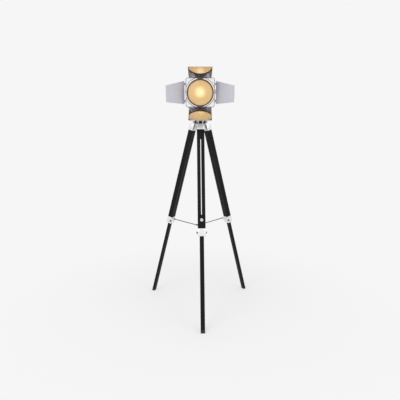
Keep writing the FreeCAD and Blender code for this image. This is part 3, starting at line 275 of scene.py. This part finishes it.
def make_grain():
    """Long fine grain along Z, as a mask and a height."""
    group, inside, outside = new_group(
        "grain",
        [("Vector", "Vector", None), ("Across", "Float", 320), ("Along", "Float", 9)],
        [("Mask", "Float"), ("Height", "Float")],
    )
    scale = add(group, "CombineXYZ")
    join(group, inside.outputs["Across"], scale.inputs[0])
    join(group, inside.outputs["Across"], scale.inputs[1])
    join(group, inside.outputs["Along"], scale.inputs[2])
    stretched = add(group, "VectorMath", operation="MULTIPLY")
    join(group, inside.outputs["Vector"], stretched.inputs[0])
    join(group, scale.outputs[0], stretched.inputs[1])
    fibres = add(group, "TexNoise", Scale=1, Detail=6, Roughness=0.62)
    join(group, stretched.outputs[0], fibres.inputs["Vector"])
    mask = add(group, "MapRange")
    mask.inputs["From Min"].default_value = 0.38
    mask.inputs["From Max"].default_value = 0.68
    join(group, fibres.outputs["Fac"], mask.inputs["Value"])
    join(group, mask.outputs[0], outside.inputs["Mask"])
    join(group, fibres.outputs["Fac"], outside.inputs["Height"])
    return group


def make_pebble():
    """A fine rolling texture, as on frosted glass, cast metal or rubber."""
    group, inside, outside = new_group(
        "pebble", [("Vector", "Vector", None), ("Scale", "Float", 700)], [("Height", "Float")]
    )
    bumps = add(group, "TexVoronoi", feature="SMOOTH_F1")
    bumps.inputs["Smoothness"].default_value = 0.8
    join(group, inside.outputs["Vector"], bumps.inputs["Vector"])
    join(group, inside.outputs["Scale"], bumps.inputs["Scale"])
    join(group, bumps.outputs["Distance"], outside.inputs["Height"])
    return group


BLOTCHES = make_blotches()
EDGE_WEAR = make_edge_wear()
GRAIN = make_grain()
PEBBLE = make_pebble()


def use(tree, group, vector=None, **values):
    """One of the shared effects, placed in a material."""
    node = tree.nodes.new("ShaderNodeGroup")
    node.node_tree = group
    if vector is not None:
        join(tree, vector, node.inputs["Vector"])
    for name, value in values.items():
        node.inputs[name].default_value = value
    return node


def blend_colours(tree, mask, first, second):
    """A colour between two, by a mask."""
    mix = add(tree, "Mix", data_type="RGBA")
    mix.inputs[6].default_value = (*first, 1)
    mix.inputs[7].default_value = (*second, 1)
    join(tree, mask, mix.inputs[0])
    return mix.outputs[2]


def bump(tree, height, shader, strength, depth, normal=None):
    """A bump from a height, on the shader's normal."""
    node = add(tree, "Bump")
    node.inputs["Strength"].default_value = strength
    node.inputs["Distance"].default_value = depth
    join(tree, height, node.inputs["Height"])
    if normal is not None:
        join(tree, normal, node.inputs["Normal"])
    join(tree, node.outputs[0], shader.inputs["Normal"])


def metal(name, colour, rough, worn=None, width=0.0008, metallic=1.0, lines=None, scale=30):
    """A metal finish: uneven polish, soft edges, and brushed lines if asked for."""
    material, tree, output = new_tree(name)
    shader = add(tree, "BsdfPrincipled", Metallic=metallic)
    place = add(tree, "TexCoord").outputs["Object"]
    patches = use(tree, BLOTCHES, place, Scale=scale, Low=rough * 0.8, High=rough * 1.35)
    join(tree, patches.outputs["Value"], shader.inputs["Roughness"])
    edges = use(tree, EDGE_WEAR, place, Width=width)
    worn = worn or tuple(min(1, c * 1.15) for c in colour)
    shaded = blend_colours(tree, patches.outputs["Mask"], colour, tuple(c * 0.93 for c in colour))
    mix = add(tree, "Mix", data_type="RGBA")
    join(tree, edges.outputs["Mask"], mix.inputs[0])
    join(tree, shaded, mix.inputs[6])
    mix.inputs[7].default_value = (*worn, 1)
    join(tree, mix.outputs[2], shader.inputs["Base Color"])
    if lines:
        grain = use(tree, GRAIN, place, Across=lines[0], Along=lines[1])
        bump(tree, grain.outputs["Height"], shader, 0.12, 0.0002, edges.outputs["Normal"])
    else:
        join(tree, edges.outputs["Normal"], shader.inputs["Normal"])
    join(tree, shader.outputs[0], output.inputs[0])
    return material


def painted(name, colour, rough, worn, scale=900, depth=0.00006):
    """Paint, plastic or rubber with a fine texture and worn edges."""
    material, tree, output = new_tree(name)
    shader = add(tree, "BsdfPrincipled")
    place = add(tree, "TexCoord").outputs["Object"]
    patches = use(tree, BLOTCHES, place, Scale=22, Low=rough * 0.85, High=rough * 1.2)
    join(tree, patches.outputs["Value"], shader.inputs["Roughness"])
    edges = use(tree, EDGE_WEAR, place)
    shaded = blend_colours(tree, patches.outputs["Mask"], colour, tuple(c * 1.35 for c in colour))
    mix = add(tree, "Mix", data_type="RGBA")
    join(tree, edges.outputs["Mask"], mix.inputs[0])
    join(tree, shaded, mix.inputs[6])
    mix.inputs[7].default_value = (*worn, 1)
    join(tree, mix.outputs[2], shader.inputs["Base Color"])
    texture = use(tree, PEBBLE, place, Scale=scale)
    bump(tree, texture.outputs["Height"], shader, 0.35, depth, edges.outputs["Normal"])
    join(tree, shader.outputs[0], output.inputs[0])
    return material


def black_wood(side):
    """Black-stained wood with its grain along one leg."""
    material, tree, output = new_tree("black_wood_" + side)
    shader = add(tree, "BsdfPrincipled")
    shader.inputs["Specular IOR Level"].default_value = 0.16
    along = add(tree, "Mapping", vector_type="TEXTURE")
    turn = leg_place(side)
    along.inputs["Location"].default_value = turn.to_translation()
    along.inputs["Rotation"].default_value = turn.to_euler()
    join(tree, add(tree, "TexCoord").outputs["Object"], along.inputs["Vector"])
    grain = use(tree, GRAIN, along.outputs[0])
    patches = use(tree, BLOTCHES, along.outputs[0], Scale=9, Low=0.42, High=0.58)
    join(tree, patches.outputs["Value"], shader.inputs["Roughness"])
    edges = use(tree, EDGE_WEAR, along.outputs[0], Width=0.0016, Scale=24)
    dark, light = (0.0032, 0.003, 0.003), (0.0085, 0.0078, 0.0074)
    stained = blend_colours(tree, grain.outputs["Mask"], dark, light)
    mix = add(tree, "Mix", data_type="RGBA")
    join(tree, edges.outputs["Mask"], mix.inputs[0])
    join(tree, stained, mix.inputs[6])
    mix.inputs[7].default_value = (0.022, 0.019, 0.017, 1)
    join(tree, mix.outputs[2], shader.inputs["Base Color"])
    bump(tree, grain.outputs["Height"], shader, 0.25, 0.0003, edges.outputs["Normal"])
    join(tree, shader.outputs[0], output.inputs[0])
    return material


def mirror_door(side):
    """A door sheet: a mirror towards the light, and satin outside."""
    material, tree, output = new_tree("mirror_door_" + side)
    shader = add(tree, "BsdfPrincipled")
    here = add(tree, "TexCoord").outputs["Object"]
    sheet = add(tree, "Mapping", vector_type="TEXTURE")
    place = door_place(side)
    sheet.inputs["Location"].default_value = place.to_translation()
    sheet.inputs["Rotation"].default_value = place.to_euler()
    join(tree, here, sheet.inputs["Vector"])
    parts = add(tree, "SeparateXYZ")
    join(tree, sheet.outputs[0], parts.inputs[0])
    inside = add(tree, "MapRange")
    inside.inputs["From Min"].default_value = -0.0003
    inside.inputs["From Max"].default_value = 0.0003
    join(tree, parts.outputs["Z"], inside.inputs["Value"])
    patches = use(tree, BLOTCHES, here, Scale=24, Low=0.045, High=0.08)
    satin = use(tree, BLOTCHES, here, Scale=30, Low=0.32, High=0.46)
    rough = add(tree, "Mix", data_type="FLOAT")
    join(tree, inside.outputs[0], rough.inputs[0])
    join(tree, satin.outputs["Value"], rough.inputs[2])
    join(tree, patches.outputs["Value"], rough.inputs[3])
    join(tree, rough.outputs[0], shader.inputs["Roughness"])
    colour = blend_colours(tree, inside.outputs[0], (0.62, 0.62, 0.66), (0.86, 0.84, 0.8))
    join(tree, colour, shader.inputs["Base Color"])
    share = add(tree, "MapRange")
    share.inputs["To Min"].default_value = 0.6
    join(tree, inside.outputs[0], share.inputs["Value"])
    join(tree, share.outputs[0], shader.inputs["Metallic"])
    edges = use(tree, EDGE_WEAR, here, Width=0.0003)
    join(tree, edges.outputs["Normal"], shader.inputs["Normal"])
    join(tree, shader.outputs[0], output.inputs[0])
    return material


def frosted_lens():
    """Warm frosted glass that blurs the lit bulb behind it, with a faint painted glow of its own.
    """
    material, tree, output = new_tree("frosted_lens")
    shader = add(tree, "BsdfPrincipled")
    shader.inputs["Transmission Weight"].default_value = 0.8
    shader.inputs["IOR"].default_value = 1.3
    shader.inputs["Specular IOR Level"].default_value = 0.3
    place = add(tree, "TexCoord").outputs["Object"]
    patches = use(tree, BLOTCHES, place, Scale=18, Low=0.36, High=0.44)
    join(tree, patches.outputs["Value"], shader.inputs["Roughness"])
    tint = blend_colours(tree, patches.outputs["Mask"], (0.9, 0.76, 0.52), (0.84, 0.7, 0.48))
    join(tree, tint, shader.inputs["Base Color"])
    # A faint warm emission over the whole glass: painted glow that stands in for the bulb's light
    # in the frosted glass.
    shader.inputs["Emission Color"].default_value = (0.5, 0.34, 0.16, 1)
    shader.inputs["Emission Strength"].default_value = 0.25
    texture = use(tree, PEBBLE, place, Scale=420)
    bump(tree, texture.outputs["Height"], shader, 0.3, 0.0003)
    join(tree, shader.outputs[0], output.inputs[0])
    return material


def glow(name, strength, stops, reach):
    """A warm glow round the lens axis, brightest in the middle."""
    material, tree, output = new_tree(name)
    shader = add(tree, "BsdfPrincipled", Roughness=0.3)
    shader.inputs["Base Color"].default_value = (0.3, 0.27, 0.22, 1)
    shader.inputs["Emission Strength"].default_value = strength
    head = add(tree, "Mapping", vector_type="TEXTURE")
    head.inputs["Location"].default_value = TILT
    head.inputs["Rotation"].default_value = (math.radians(AIM), 0, 0)
    join(tree, add(tree, "TexCoord").outputs["Object"], head.inputs["Vector"])
    flat = add(tree, "VectorMath", operation="MULTIPLY")
    flat.inputs[1].default_value = (1, 0, 1)
    join(tree, head.outputs[0], flat.inputs[0])
    far = add(tree, "VectorMath", operation="LENGTH")
    join(tree, flat.outputs[0], far.inputs[0])
    part = add(tree, "MapRange")
    part.inputs["From Max"].default_value = reach
    join(tree, far.outputs["Value"], part.inputs["Value"])
    ramp = add(tree, "ValToRGB")
    ramp.color_ramp.interpolation = "EASE"
    while len(ramp.color_ramp.elements) < len(stops):
        ramp.color_ramp.elements.new(0.5)
    for element, (spot, colour) in zip(ramp.color_ramp.elements, stops):
        element.position = spot
        element.color = (*colour, 1)
    join(tree, part.outputs[0], ramp.inputs["Fac"])
    join(tree, ramp.outputs[0], shader.inputs["Emission Color"])
    join(tree, shader.outputs[0], output.inputs[0])
    return material


# ------------------------------------------------------------------ finishes

NICKEL = metal("polished_nickel", (0.74, 0.74, 0.75), 0.16)
CAST_NICKEL = metal("cast_nickel", (0.86, 0.86, 0.865), 0.3, metallic=0.55, scale=60)
SATIN_NICKEL = metal("satin_nickel", (0.6, 0.6, 0.62), 0.3, lines=(900, 900))
CHROME = metal("plate_chrome", (0.93, 0.93, 0.94), 0.07)
GREY_DOOR = metal(
    "satin_door", (0.67, 0.67, 0.73), 0.4, lines=(700, 30), width=0.0004, metallic=0.5
)
STEEL = metal("plain_steel", (0.5, 0.5, 0.51), 0.28)
ROD_STEEL = metal("rod_steel", (0.17, 0.17, 0.172), 0.32, worn=(0.3, 0.3, 0.3))
BRONZE = metal("dark_bronze", (0.085, 0.055, 0.04), 0.3, worn=(0.25, 0.17, 0.12), metallic=0.75)
IRON = painted("black_iron", (0.02, 0.02, 0.021), 0.42, (0.11, 0.11, 0.11), scale=500, depth=0.0001)
# Dark purple-grey: painted shade and painted reflection, for the dark strips and hinge barrels at
# the plate's top and bottom edges.
PAINTED_SHADE_TRIM = metal("painted_shade_trim", (0.2, 0.175, 0.185), 0.32, worn=(0.45, 0.43, 0.44), metallic=0.8)
RING_SIDE = metal("ring_side", (0.34, 0.3, 0.32), 0.34, worn=(0.5, 0.47, 0.48), metallic=0.8)
RIM_GREY = metal("rim_grey", (0.12, 0.12, 0.123), 0.3, worn=(0.3, 0.3, 0.3), metallic=0.8)
PLASTIC = painted("black_plastic", (0.018, 0.018, 0.018), 0.45, (0.05, 0.05, 0.05))
RUBBER = painted("black_rubber", (0.016, 0.016, 0.016), 0.7, (0.03, 0.03, 0.03), scale=600)
CERAMIC = painted("glazed_ceramic", (0.8, 0.79, 0.75), 0.18, (0.85, 0.84, 0.8), scale=300)
LENS = frosted_lens()

# Each glow's colours from the lens axis outwards, and the radius that they reach.
BULB = glow(
    "lit_bulb", 1.5,
    [(0, (0.8, 0.82, 1.0)), (0.55, (0.82, 0.74, 0.55)), (1, (0.62, 0.47, 0.24))],
    0.03,
)
BOWL = glow(
    "lit_reflector", 0.4,
    [
        (0, (1.0, 0.98, 0.8)), (0.36, (0.95, 0.78, 0.45)),
        (0.66, (0.6, 0.4, 0.19)), (1, (0.5, 0.32, 0.14)),
    ],
    0.075,
)

FINISH = {
    "crown": IRON, "hinge_nuts": NICKEL, "spreader_hub": NICKEL, "hub_screw": NICKEL,
    "yoke": SATIN_NICKEL, "pan_post": NICKEL, "pan_knob": PLASTIC, "face_plate": CHROME,
    "housing_shell": SATIN_NICKEL, "plate_screws": STEEL, "rear_cap": SATIN_NICKEL,
    "rear_screws": STEEL, "cable_bush": RUBBER, "switch_body": PLASTIC, "switch_knob": PLASTIC,
    "lens_ring": BRONZE, "lens": LENS, "lens_clip": STEEL, "reflector": BOWL, "bulb": BULB,
    "lamp_holder": CERAMIC, "holder_bracket": STEEL, "door_hinge_clips": NICKEL,
    "tilt_screw": NICKEL, "tilt_knob": NICKEL,
    "door_top": mirror_door("top"), "door_bottom": mirror_door("bottom"),
    "door_left": GREY_DOOR, "door_right": GREY_DOOR,
}
for side in LEGS:
    wood = black_wood(side)
    FINISH.update({
        "leg_cap_" + side: CAST_NICKEL, "leg_clamp_" + side: CAST_NICKEL,
        "spreader_rod_" + side: ROD_STEEL, "hinge_bolt_" + side: NICKEL,
        "clamp_bolt_" + side: STEEL, "lock_screw_" + side: STEEL, "foot_pad_" + side: RUBBER,
        "upper_leg_" + side: wood, "lower_leg_" + side: wood,
    })
for side in DOORS:
    FINISH["door_leaves_" + side] = STEEL


def dress(name, material):
    """Give a CAD node its finish."""
    piece = nodes[name]
    if not piece.material_slots:
        piece.data.materials.append(material)
    for slot in piece.material_slots:
        slot.material = material


for name, material in FINISH.items():
    dress(name, material)


# ------------------------------------------------------------------ tools for new pieces


def start_mesh():
    """Nothing selected, ready for a new piece."""
    bpy.ops.object.select_all(action="DESELECT")


def choose_faces(piece, wanted):
    """Select some faces of a piece and go to edit mode."""
    bpy.ops.object.mode_set(mode="EDIT")
    bpy.ops.mesh.select_mode(type="FACE")
    bpy.ops.mesh.select_all(action="DESELECT")
    bpy.ops.object.mode_set(mode="OBJECT")
    for number, face in enumerate(piece.data.polygons):
        face.select = wanted(number, face)
    bpy.ops.object.mode_set(mode="EDIT")


def finish_shape(piece, name, place, material, body, smooth=32):
    """Put a finished shape in its place, in its finish, on its body."""
    bpy.ops.object.mode_set(mode="OBJECT")
    piece.data.transform(place)
    piece.name = name
    piece.data.name = name
    piece.data.materials.clear()
    piece.data.materials.append(material)
    start_mesh()
    piece.select_set(True)
    bpy.context.view_layer.objects.active = piece
    bpy.ops.object.mode_set(mode="EDIT")
    bpy.ops.mesh.select_all(action="SELECT")
    bpy.ops.mesh.normals_make_consistent(inside=False)
    bpy.ops.object.mode_set(mode="OBJECT")
    bpy.ops.object.shade_smooth_by_angle(angle=math.radians(smooth))
    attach(piece, body)
    return piece


def apply_bevel(piece, width, steps=2, angle=30):
    """Round the sharp edges of a piece."""
    soft = piece.modifiers.new("soft", "BEVEL")
    soft.width = width
    soft.segments = steps
    soft.limit_method = "ANGLE"
    soft.angle_limit = math.radians(angle)
    bpy.ops.object.modifier_apply(modifier=soft.name)


def join_pieces(pieces):
    """Make one mesh of several."""
    start_mesh()
    for piece in pieces:
        piece.select_set(True)
    bpy.context.view_layer.objects.active = pieces[0]
    bpy.ops.object.join()
    return bpy.context.object


def turned_bar(radius, long, start, sides=32, far_radius=None):
    """A plain or tapered bar along Z from a start, as the beginning of a knob or screw."""
    start_mesh()
    bpy.ops.mesh.primitive_cone_add(
        vertices=sides, radius1=radius, radius2=radius if far_radius is None else far_radius,
        depth=long, location=(0, 0, start + long / 2),
    )
    bpy.ops.object.transform_apply(location=True, rotation=True, scale=True)
    return bpy.context.object


def fluted_knob(radius, long, start, flutes, deep, dish):
    """A knob along Z with flutes round it and a dished end."""
    knob = turned_bar(radius, long, start, sides=flutes * 2)
    top = start + long
    choose_faces(
        knob,
        lambda number, face: abs(face.normal.z) < 0.5 and side_number(face, flutes) % 2 == 0,
    )
    bpy.ops.mesh.inset(thickness=radius * 0.02, use_individual=True)
    bpy.ops.mesh.extrude_faces_move(TRANSFORM_OT_shrink_fatten={"value": -deep})
    choose_faces(knob, lambda number, face: face.normal.z > 0.9 and face.center.z > top - 1e-5)
    bpy.ops.mesh.inset(thickness=radius * 0.22)
    bpy.ops.mesh.inset(thickness=radius * 0.08, depth=-dish)
    bpy.ops.object.mode_set(mode="OBJECT")
    apply_bevel(knob, min(0.0004, deep * 0.5), steps=2, angle=35)
    return knob


def side_number(face, flutes):
    """Which of a knob's sides a face is, counted round Z."""
    turn = math.atan2(face.center.y, face.center.x) / math.tau * flutes * 2
    return int(math.floor(turn)) % (flutes * 2)


def slotted_head(radius, high, start, sides=28):
    """A screw's head along Z with a rounded rim and a driver's slot."""
    head = turned_bar(radius, high, start, sides)
    choose_faces(head, lambda number, face: face.normal.z > 0.9)
    bpy.ops.mesh.bevel(offset=high * 0.35, segments=3, affect="EDGES")
    bpy.ops.object.mode_set(mode="OBJECT")
    start_mesh()
    bpy.ops.mesh.primitive_cube_add(size=1, location=(0, 0, start + high))
    blade = bpy.context.object
    blade.scale = (radius * 3, radius * 0.28, high * 0.9)
    bpy.ops.object.transform_apply(location=True, rotation=True, scale=True)
    start_mesh()
    head.select_set(True)
    bpy.context.view_layer.objects.active = head
    slot = head.modifiers.new("slot", "BOOLEAN")
    slot.operation = "DIFFERENCE"
    slot.object = blade
    bpy.ops.object.modifier_apply(modifier=slot.name)
    bpy.data.objects.remove(blade)
    return head


def bead(points, radius, closed=True):
    """A round bead along a line of points, as a mesh."""
    line = bpy.data.curves.new("bead", "CURVE")
    line.dimensions = "3D"
    line.bevel_depth = radius
    line.bevel_resolution = 3
    spline = line.splines.new("POLY")
    spline.points.add(len(points) - 1)
    for spot, place in zip(spline.points, points):
        spot.co = (*place, 1)
    spline.use_cyclic_u = closed
    line.use_fill_caps = not closed
    start_mesh()
    piece = bpy.data.objects.new("bead", line)
    bpy.context.collection.objects.link(piece)
    piece.select_set(True)
    bpy.context.view_layer.objects.active = piece
    bpy.ops.object.convert(target="MESH")
    return bpy.context.object


def rounded_outline(half_near, half_far, near, far, corner, steps=6):
    """The outline of a four-sided sheet with rounded corners."""
    corners = [
        Vector((-half_near, near, 0)), Vector((half_near, near, 0)),
        Vector((half_far, far, 0)), Vector((-half_far, far, 0)),
    ]
    points = []
    for number, spot in enumerate(corners):
        before = (corners[number - 1] - spot).normalized() * corner
        after = (corners[(number + 1) % 4] - spot).normalized() * corner
        for step in range(steps + 1):
            part = step / steps
            points.append(spot + before * (1 - part) ** 2 + after * part ** 2)
    return points


def along(direction, base, x=0.0, y=0.0, z=0.0):
    """A place at a point of a base place, whose Z runs along a direction."""
    turn = Vector(direction).to_track_quat("Z", "Y").to_matrix().to_4x4()
    return base @ Matrix.Translation((x, y, z)) @ turn


def ring_bead(radius, thick, z, sides=96):
    """A round bead about Z."""
    start_mesh()
    bpy.ops.mesh.primitive_torus_add(
        major_radius=radius, minor_radius=thick, major_segments=sides, minor_segments=8,
        location=(0, 0, z),
    )
    bpy.ops.object.transform_apply(location=True, rotation=True, scale=True)
    return bpy.context.object


def soften(name, body, width, material):
    """A copy of a CAD node with truly rounded edges, which stands for it."""
    start_mesh()
    piece = bpy.data.objects.new(name + "_shape", nodes[name].data.copy())
    bpy.context.collection.objects.link(piece)
    piece.select_set(True)
    bpy.context.view_layer.objects.active = piece
    bpy.ops.mesh.customdata_custom_splitnormals_clear()
    bpy.ops.object.mode_set(mode="EDIT")
    bpy.ops.mesh.select_all(action="SELECT")
    bpy.ops.mesh.remove_doubles(threshold=0.00001)
    bpy.ops.mesh.dissolve_limited(angle_limit=math.radians(0.5))
    bpy.ops.object.mode_set(mode="OBJECT")
    apply_bevel(piece, width, steps=2, angle=40)
    finish_shape(piece, name + "_shape", Matrix.Identity(4), material, body)
    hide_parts(name)
    return piece


# ------------------------------------------------------------------ doors and square plate

DOOR_HALF = 0.0685
SIDE_DOOR_TIP_HALF = 0.047
WIDE_DOOR_LONG = 0.14
SIDE_DOOR_LONG = 0.15
DOOR_START = 0.0036
HEM = 0.001
HEM_INSET = 0.0022


def make_door_trim(side):
    """A rolled bead round a door's edge."""
    wide = side in ("top", "bottom")
    long = WIDE_DOOR_LONG if wide else SIDE_DOOR_LONG
    far_half = DOOR_HALF if wide else SIDE_DOOR_TIP_HALF
    inset = HEM_INSET
    points = rounded_outline(
        DOOR_HALF - inset, far_half - inset, DOOR_START + inset, long - inset, 0.004
    )
    hem = bead([(p.x, p.y, 0) for p in points], HEM)
    material = RIM_GREY if wide else GREY_DOOR
    finish_shape(hem, "door_hem_" + side, door_place(side), material, "door_" + side, 60)


PLATE_HALF = 0.0875
PLATE_FRONT = -0.08
PLATE_EDGE = 0.0019
PLATE_CORNER = 0.0075
ARC_RADIUS = 0.09
ARC_BEAD = 0.0014


def plate_point(x, z, forward=0.0):
    """A point on the square plate's front, in the head's own place."""
    return (x, PLATE_FRONT - forward, z)


def make_plate_trim():
    """The rolled edge of the square plate, and the bead round the lens at its corners."""
    half = PLATE_HALF - PLATE_EDGE
    corner = PLATE_CORNER
    points = []
    for number in range(4):
        turn = math.radians(90 * number)
        for step in range(9):
            angle = turn + math.radians(90) * step / 8
            middle = Matrix.Rotation(turn, 2) @ Vector((half - corner, half - corner))
            x = middle.x + corner * math.cos(angle)
            z = middle.y + corner * math.sin(angle)
            points.append(plate_point(x, z, -0.0012))
    edge = bead(points, PLATE_EDGE)
    finish_shape(edge, "plate_edge", HEAD, RIM_GREY, "head", 60)
    arcs = []
    radius = ARC_RADIUS
    least = math.acos((PLATE_HALF - 0.003) / radius)
    for number in range(4):
        turn = math.pi / 2 * number
        line = []
        for step in range(25):
            angle = turn + least + (math.pi / 2 - 2 * least) * step / 24
            line.append(plate_point(radius * math.cos(angle), radius * math.sin(angle), -0.0001))
        arcs.append(bead(line, ARC_BEAD, closed=False))
    arcs = join_pieces(arcs)
    finish_shape(arcs, "plate_bead", HEAD, RIM_GREY, "head", 60)


SHADE_STRIP_HIGH = 0.0838


def make_shade_strips():
    """A dark strip of painted shade and painted reflection between the lens ring and the top and
    bottom hinges.
    """
    for side, sign in (("top", 1), ("bottom", -1)):
        start_mesh()
        bpy.ops.mesh.primitive_cube_add(size=1, location=plate_point(0, sign * SHADE_STRIP_HIGH, 0.0007))
        shade_strip = bpy.context.object
        shade_strip.scale = (0.08, 0.0012, 0.0064)
        bpy.ops.object.transform_apply(location=True, rotation=False, scale=True)
        for spot in shade_strip.data.vertices:
            if abs(spot.co.z) < SHADE_STRIP_HIGH:
                spot.co.x *= 0.3
        apply_bevel(shade_strip, 0.0004)
        finish_shape(shade_strip, "painted_shade_strip_" + side, HEAD, PAINTED_SHADE_TRIM, "head")


BARREL_RADIUS = 0.0026
BARREL_RUNS = ((-0.0665, 0.0075), (-0.041, 0.082), (0.059, 0.0075))


def make_barrels():
    """The rolled hinge barrel of the top and bottom doors, between and beside their clips."""
    for side in ("top", "bottom"):
        parts = []
        for start, long in BARREL_RUNS:
            bar = turned_bar(BARREL_RADIUS, long, start, 20)
            apply_bevel(bar, 0.0004)
            parts.append(bar)
        barrel = join_pieces(parts)
        place = along((1, 0, 0), door_place(side))
        # The barrels take the dark purple-grey painted shade, which stands for the shaded gap
        # between the doors and the plate.
        finish_shape(barrel, "hinge_barrel_" + side, place, PAINTED_SHADE_TRIM, "door_" + side)


SLEEVE_RADIUS = 0.0811
SLEEVE_LONG = 0.0195


def make_ring_sleeve():
    """A band of fine ribs round the lens ring, behind its dark front."""
    sleeve = turned_bar(SLEEVE_RADIUS, SLEEVE_LONG, 0.0, 180)
    choose_faces(sleeve, lambda number, face: abs(face.normal.z) > 0.5)
    bpy.ops.mesh.inset(thickness=0.0012)
    bpy.ops.mesh.delete(type="FACE")
    bpy.ops.mesh.select_mode(type="EDGE")
    bpy.ops.mesh.select_non_manifold()
    bpy.ops.mesh.bridge_edge_loops()
    bpy.ops.object.mode_set(mode="OBJECT")

    def every_other_outer(number, face):
        outer = abs(face.normal.z) < 0.5 and face.center.xy.length > SLEEVE_RADIUS - 0.0003
        return outer and number % 2 == 0

    choose_faces(sleeve, every_other_outer)
    bpy.ops.mesh.inset(thickness=0.0002, use_individual=True)
    bpy.ops.mesh.extrude_faces_move(TRANSFORM_OT_shrink_fatten={"value": -0.0004})
    finish_shape(sleeve, "ring_sleeve", along((0, -1, 0), HEAD, y=PLATE_FRONT), RING_SIDE, "head")


DRUM_BEADS = (-0.047, -0.042, 0.037)
BUSH_LOW = 0.058


def make_drum_beads():
    """Rolled beads round the housing, and ribs round the cable bush."""
    beads = join_pieces([ring_bead(0.082, 0.0011, place, 128) for place in DRUM_BEADS])
    finish_shape(beads, "drum_beads", along((0, 1, 0), HEAD), SATIN_NICKEL, "head", 60)
    ribs = []
    for number in range(5):
        radius = 0.0064 - 0.0019 * (0.15 + 0.17 * number)
        ribs.append(ring_bead(radius, 0.0009, 0.0755 + 0.0034 * number, 32))
    ribs = join_pieces(ribs)
    finish_shape(ribs, "bush_ribs", along((0, 1, 0), HEAD, z=-BUSH_LOW), RUBBER, "head", 60)


# ------------------------------------------------------------------ knobs and screws

CLAMP_DROP = 0.677
CLAMP_BACK = 0.01315
CLAMP_REACH = 0.0233
LOCK_DROP = 0.604
SCREW_PLACE = 0.076


def make_leg_fasteners(side):
    """Fluted knobs on a leg's clamp bolt, hinge bolt and lock screw."""
    leg = leg_place(side)
    left = fluted_knob(0.0055, 0.007, CLAMP_REACH, 12, 0.0005, 0.0008)
    right = fluted_knob(0.0055, 0.007, CLAMP_REACH, 12, 0.0005, 0.0008)
    right.data.transform(Matrix.Rotation(math.pi, 4, "X"))
    bolt = join_pieces([turned_bar(0.0022, 2 * CLAMP_REACH, -CLAMP_REACH), left, right])
    finish_shape(
        bolt, "clamp_knobs_" + side, along((1, 0, 0), leg, y=CLAMP_BACK, z=-CLAMP_DROP),
        RIM_GREY, "clamp_knob_" + side,
    )
    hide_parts("clamp_bolt_" + side)

    upright = Matrix.Translation(joint_place("leg_fold_" + side)) @ Matrix.Rotation(
        math.radians(LEGS[side]), 4, "Z"
    )
    bolt = join_pieces([
        turned_bar(0.004, 0.0346, -0.0198), fluted_knob(0.0065, 0.008, 0.0148, 14, 0.0006, 0.001),
    ])
    place = along((-1, 0, 0), upright)
    finish_shape(bolt, "hinge_knob_shape_" + side, place, NICKEL, "hinge_knob_" + side)
    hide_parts("hinge_bolt_" + side)

    screw = join_pieces([
        turned_bar(0.003, 0.0054, 0.00975), fluted_knob(0.009, 0.005, 0.01515, 20, 0.0006, 0.0022),
    ])
    place = along((0, -1, 0), leg, z=-LOCK_DROP)
    finish_shape(screw, "lock_knob_shape_" + side, place, NICKEL, "lock_knob_" + side)
    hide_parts("lock_screw_" + side)


def make_head_knobs():
    """The fluted knobs that lock the tilt and the pan."""
    knob = join_pieces([
        turned_bar(0.004, 0.0133, 0.0765), turned_bar(0.0084, 0.003, 0.0888, 40, 0.0098),
        fluted_knob(0.014, 0.011, 0.0918, 12, 0.0016, 0.0018),
    ])
    finish_shape(knob, "tilt_knob_shape", along((1, 0, 0), HEAD), NICKEL, "tilt_lock")
    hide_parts("tilt_knob")

    axis = Matrix.Translation((TILT.x, TILT.y, joint_place("pan_knob_turn").z))
    knob = join_pieces([
        turned_bar(0.003, 0.0187, 0.0083), fluted_knob(0.011, 0.012, 0.026, 12, 0.0012, 0.0015),
    ])
    finish_shape(knob, "pan_knob_shape", along((0, 1, 0), axis), PLASTIC, "pan_lock")
    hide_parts("pan_knob")


def make_plate_screws():
    """Four slotted screws that hold the housing to the square plate."""
    screws = []
    for x in (-SCREW_PLACE, SCREW_PLACE):
        for z in (-SCREW_PLACE, SCREW_PLACE):
            screw = join_pieces([
                turned_bar(0.0015, 0.0111, -0.0771, 20), slotted_head(0.003, 0.002, -0.066),
            ])
            screw.data.transform(along((0, 1, 0), Matrix.Identity(4), x=x, z=z))
            screws.append(screw)
    screws = join_pieces(screws)
    finish_shape(screws, "slotted_plate_screws", HEAD, STEEL, "head")
    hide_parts("plate_screws")


SOFT_EDGE = 0.0008

for side in DOORS:
    make_door_trim(side)
make_plate_trim()
make_shade_strips()
make_barrels()
make_ring_sleeve()
make_drum_beads()
for side in LEGS:
    make_leg_fasteners(side)
    soften("leg_cap_" + side, "leg_" + side, SOFT_EDGE, CAST_NICKEL)
    soften("leg_clamp_" + side, "leg_" + side, SOFT_EDGE, CAST_NICKEL)
make_head_knobs()
make_plate_screws()
soften("yoke", "yoke", SOFT_EDGE, SATIN_NICKEL)
soften("crown", "stand", SOFT_EDGE, IRON)
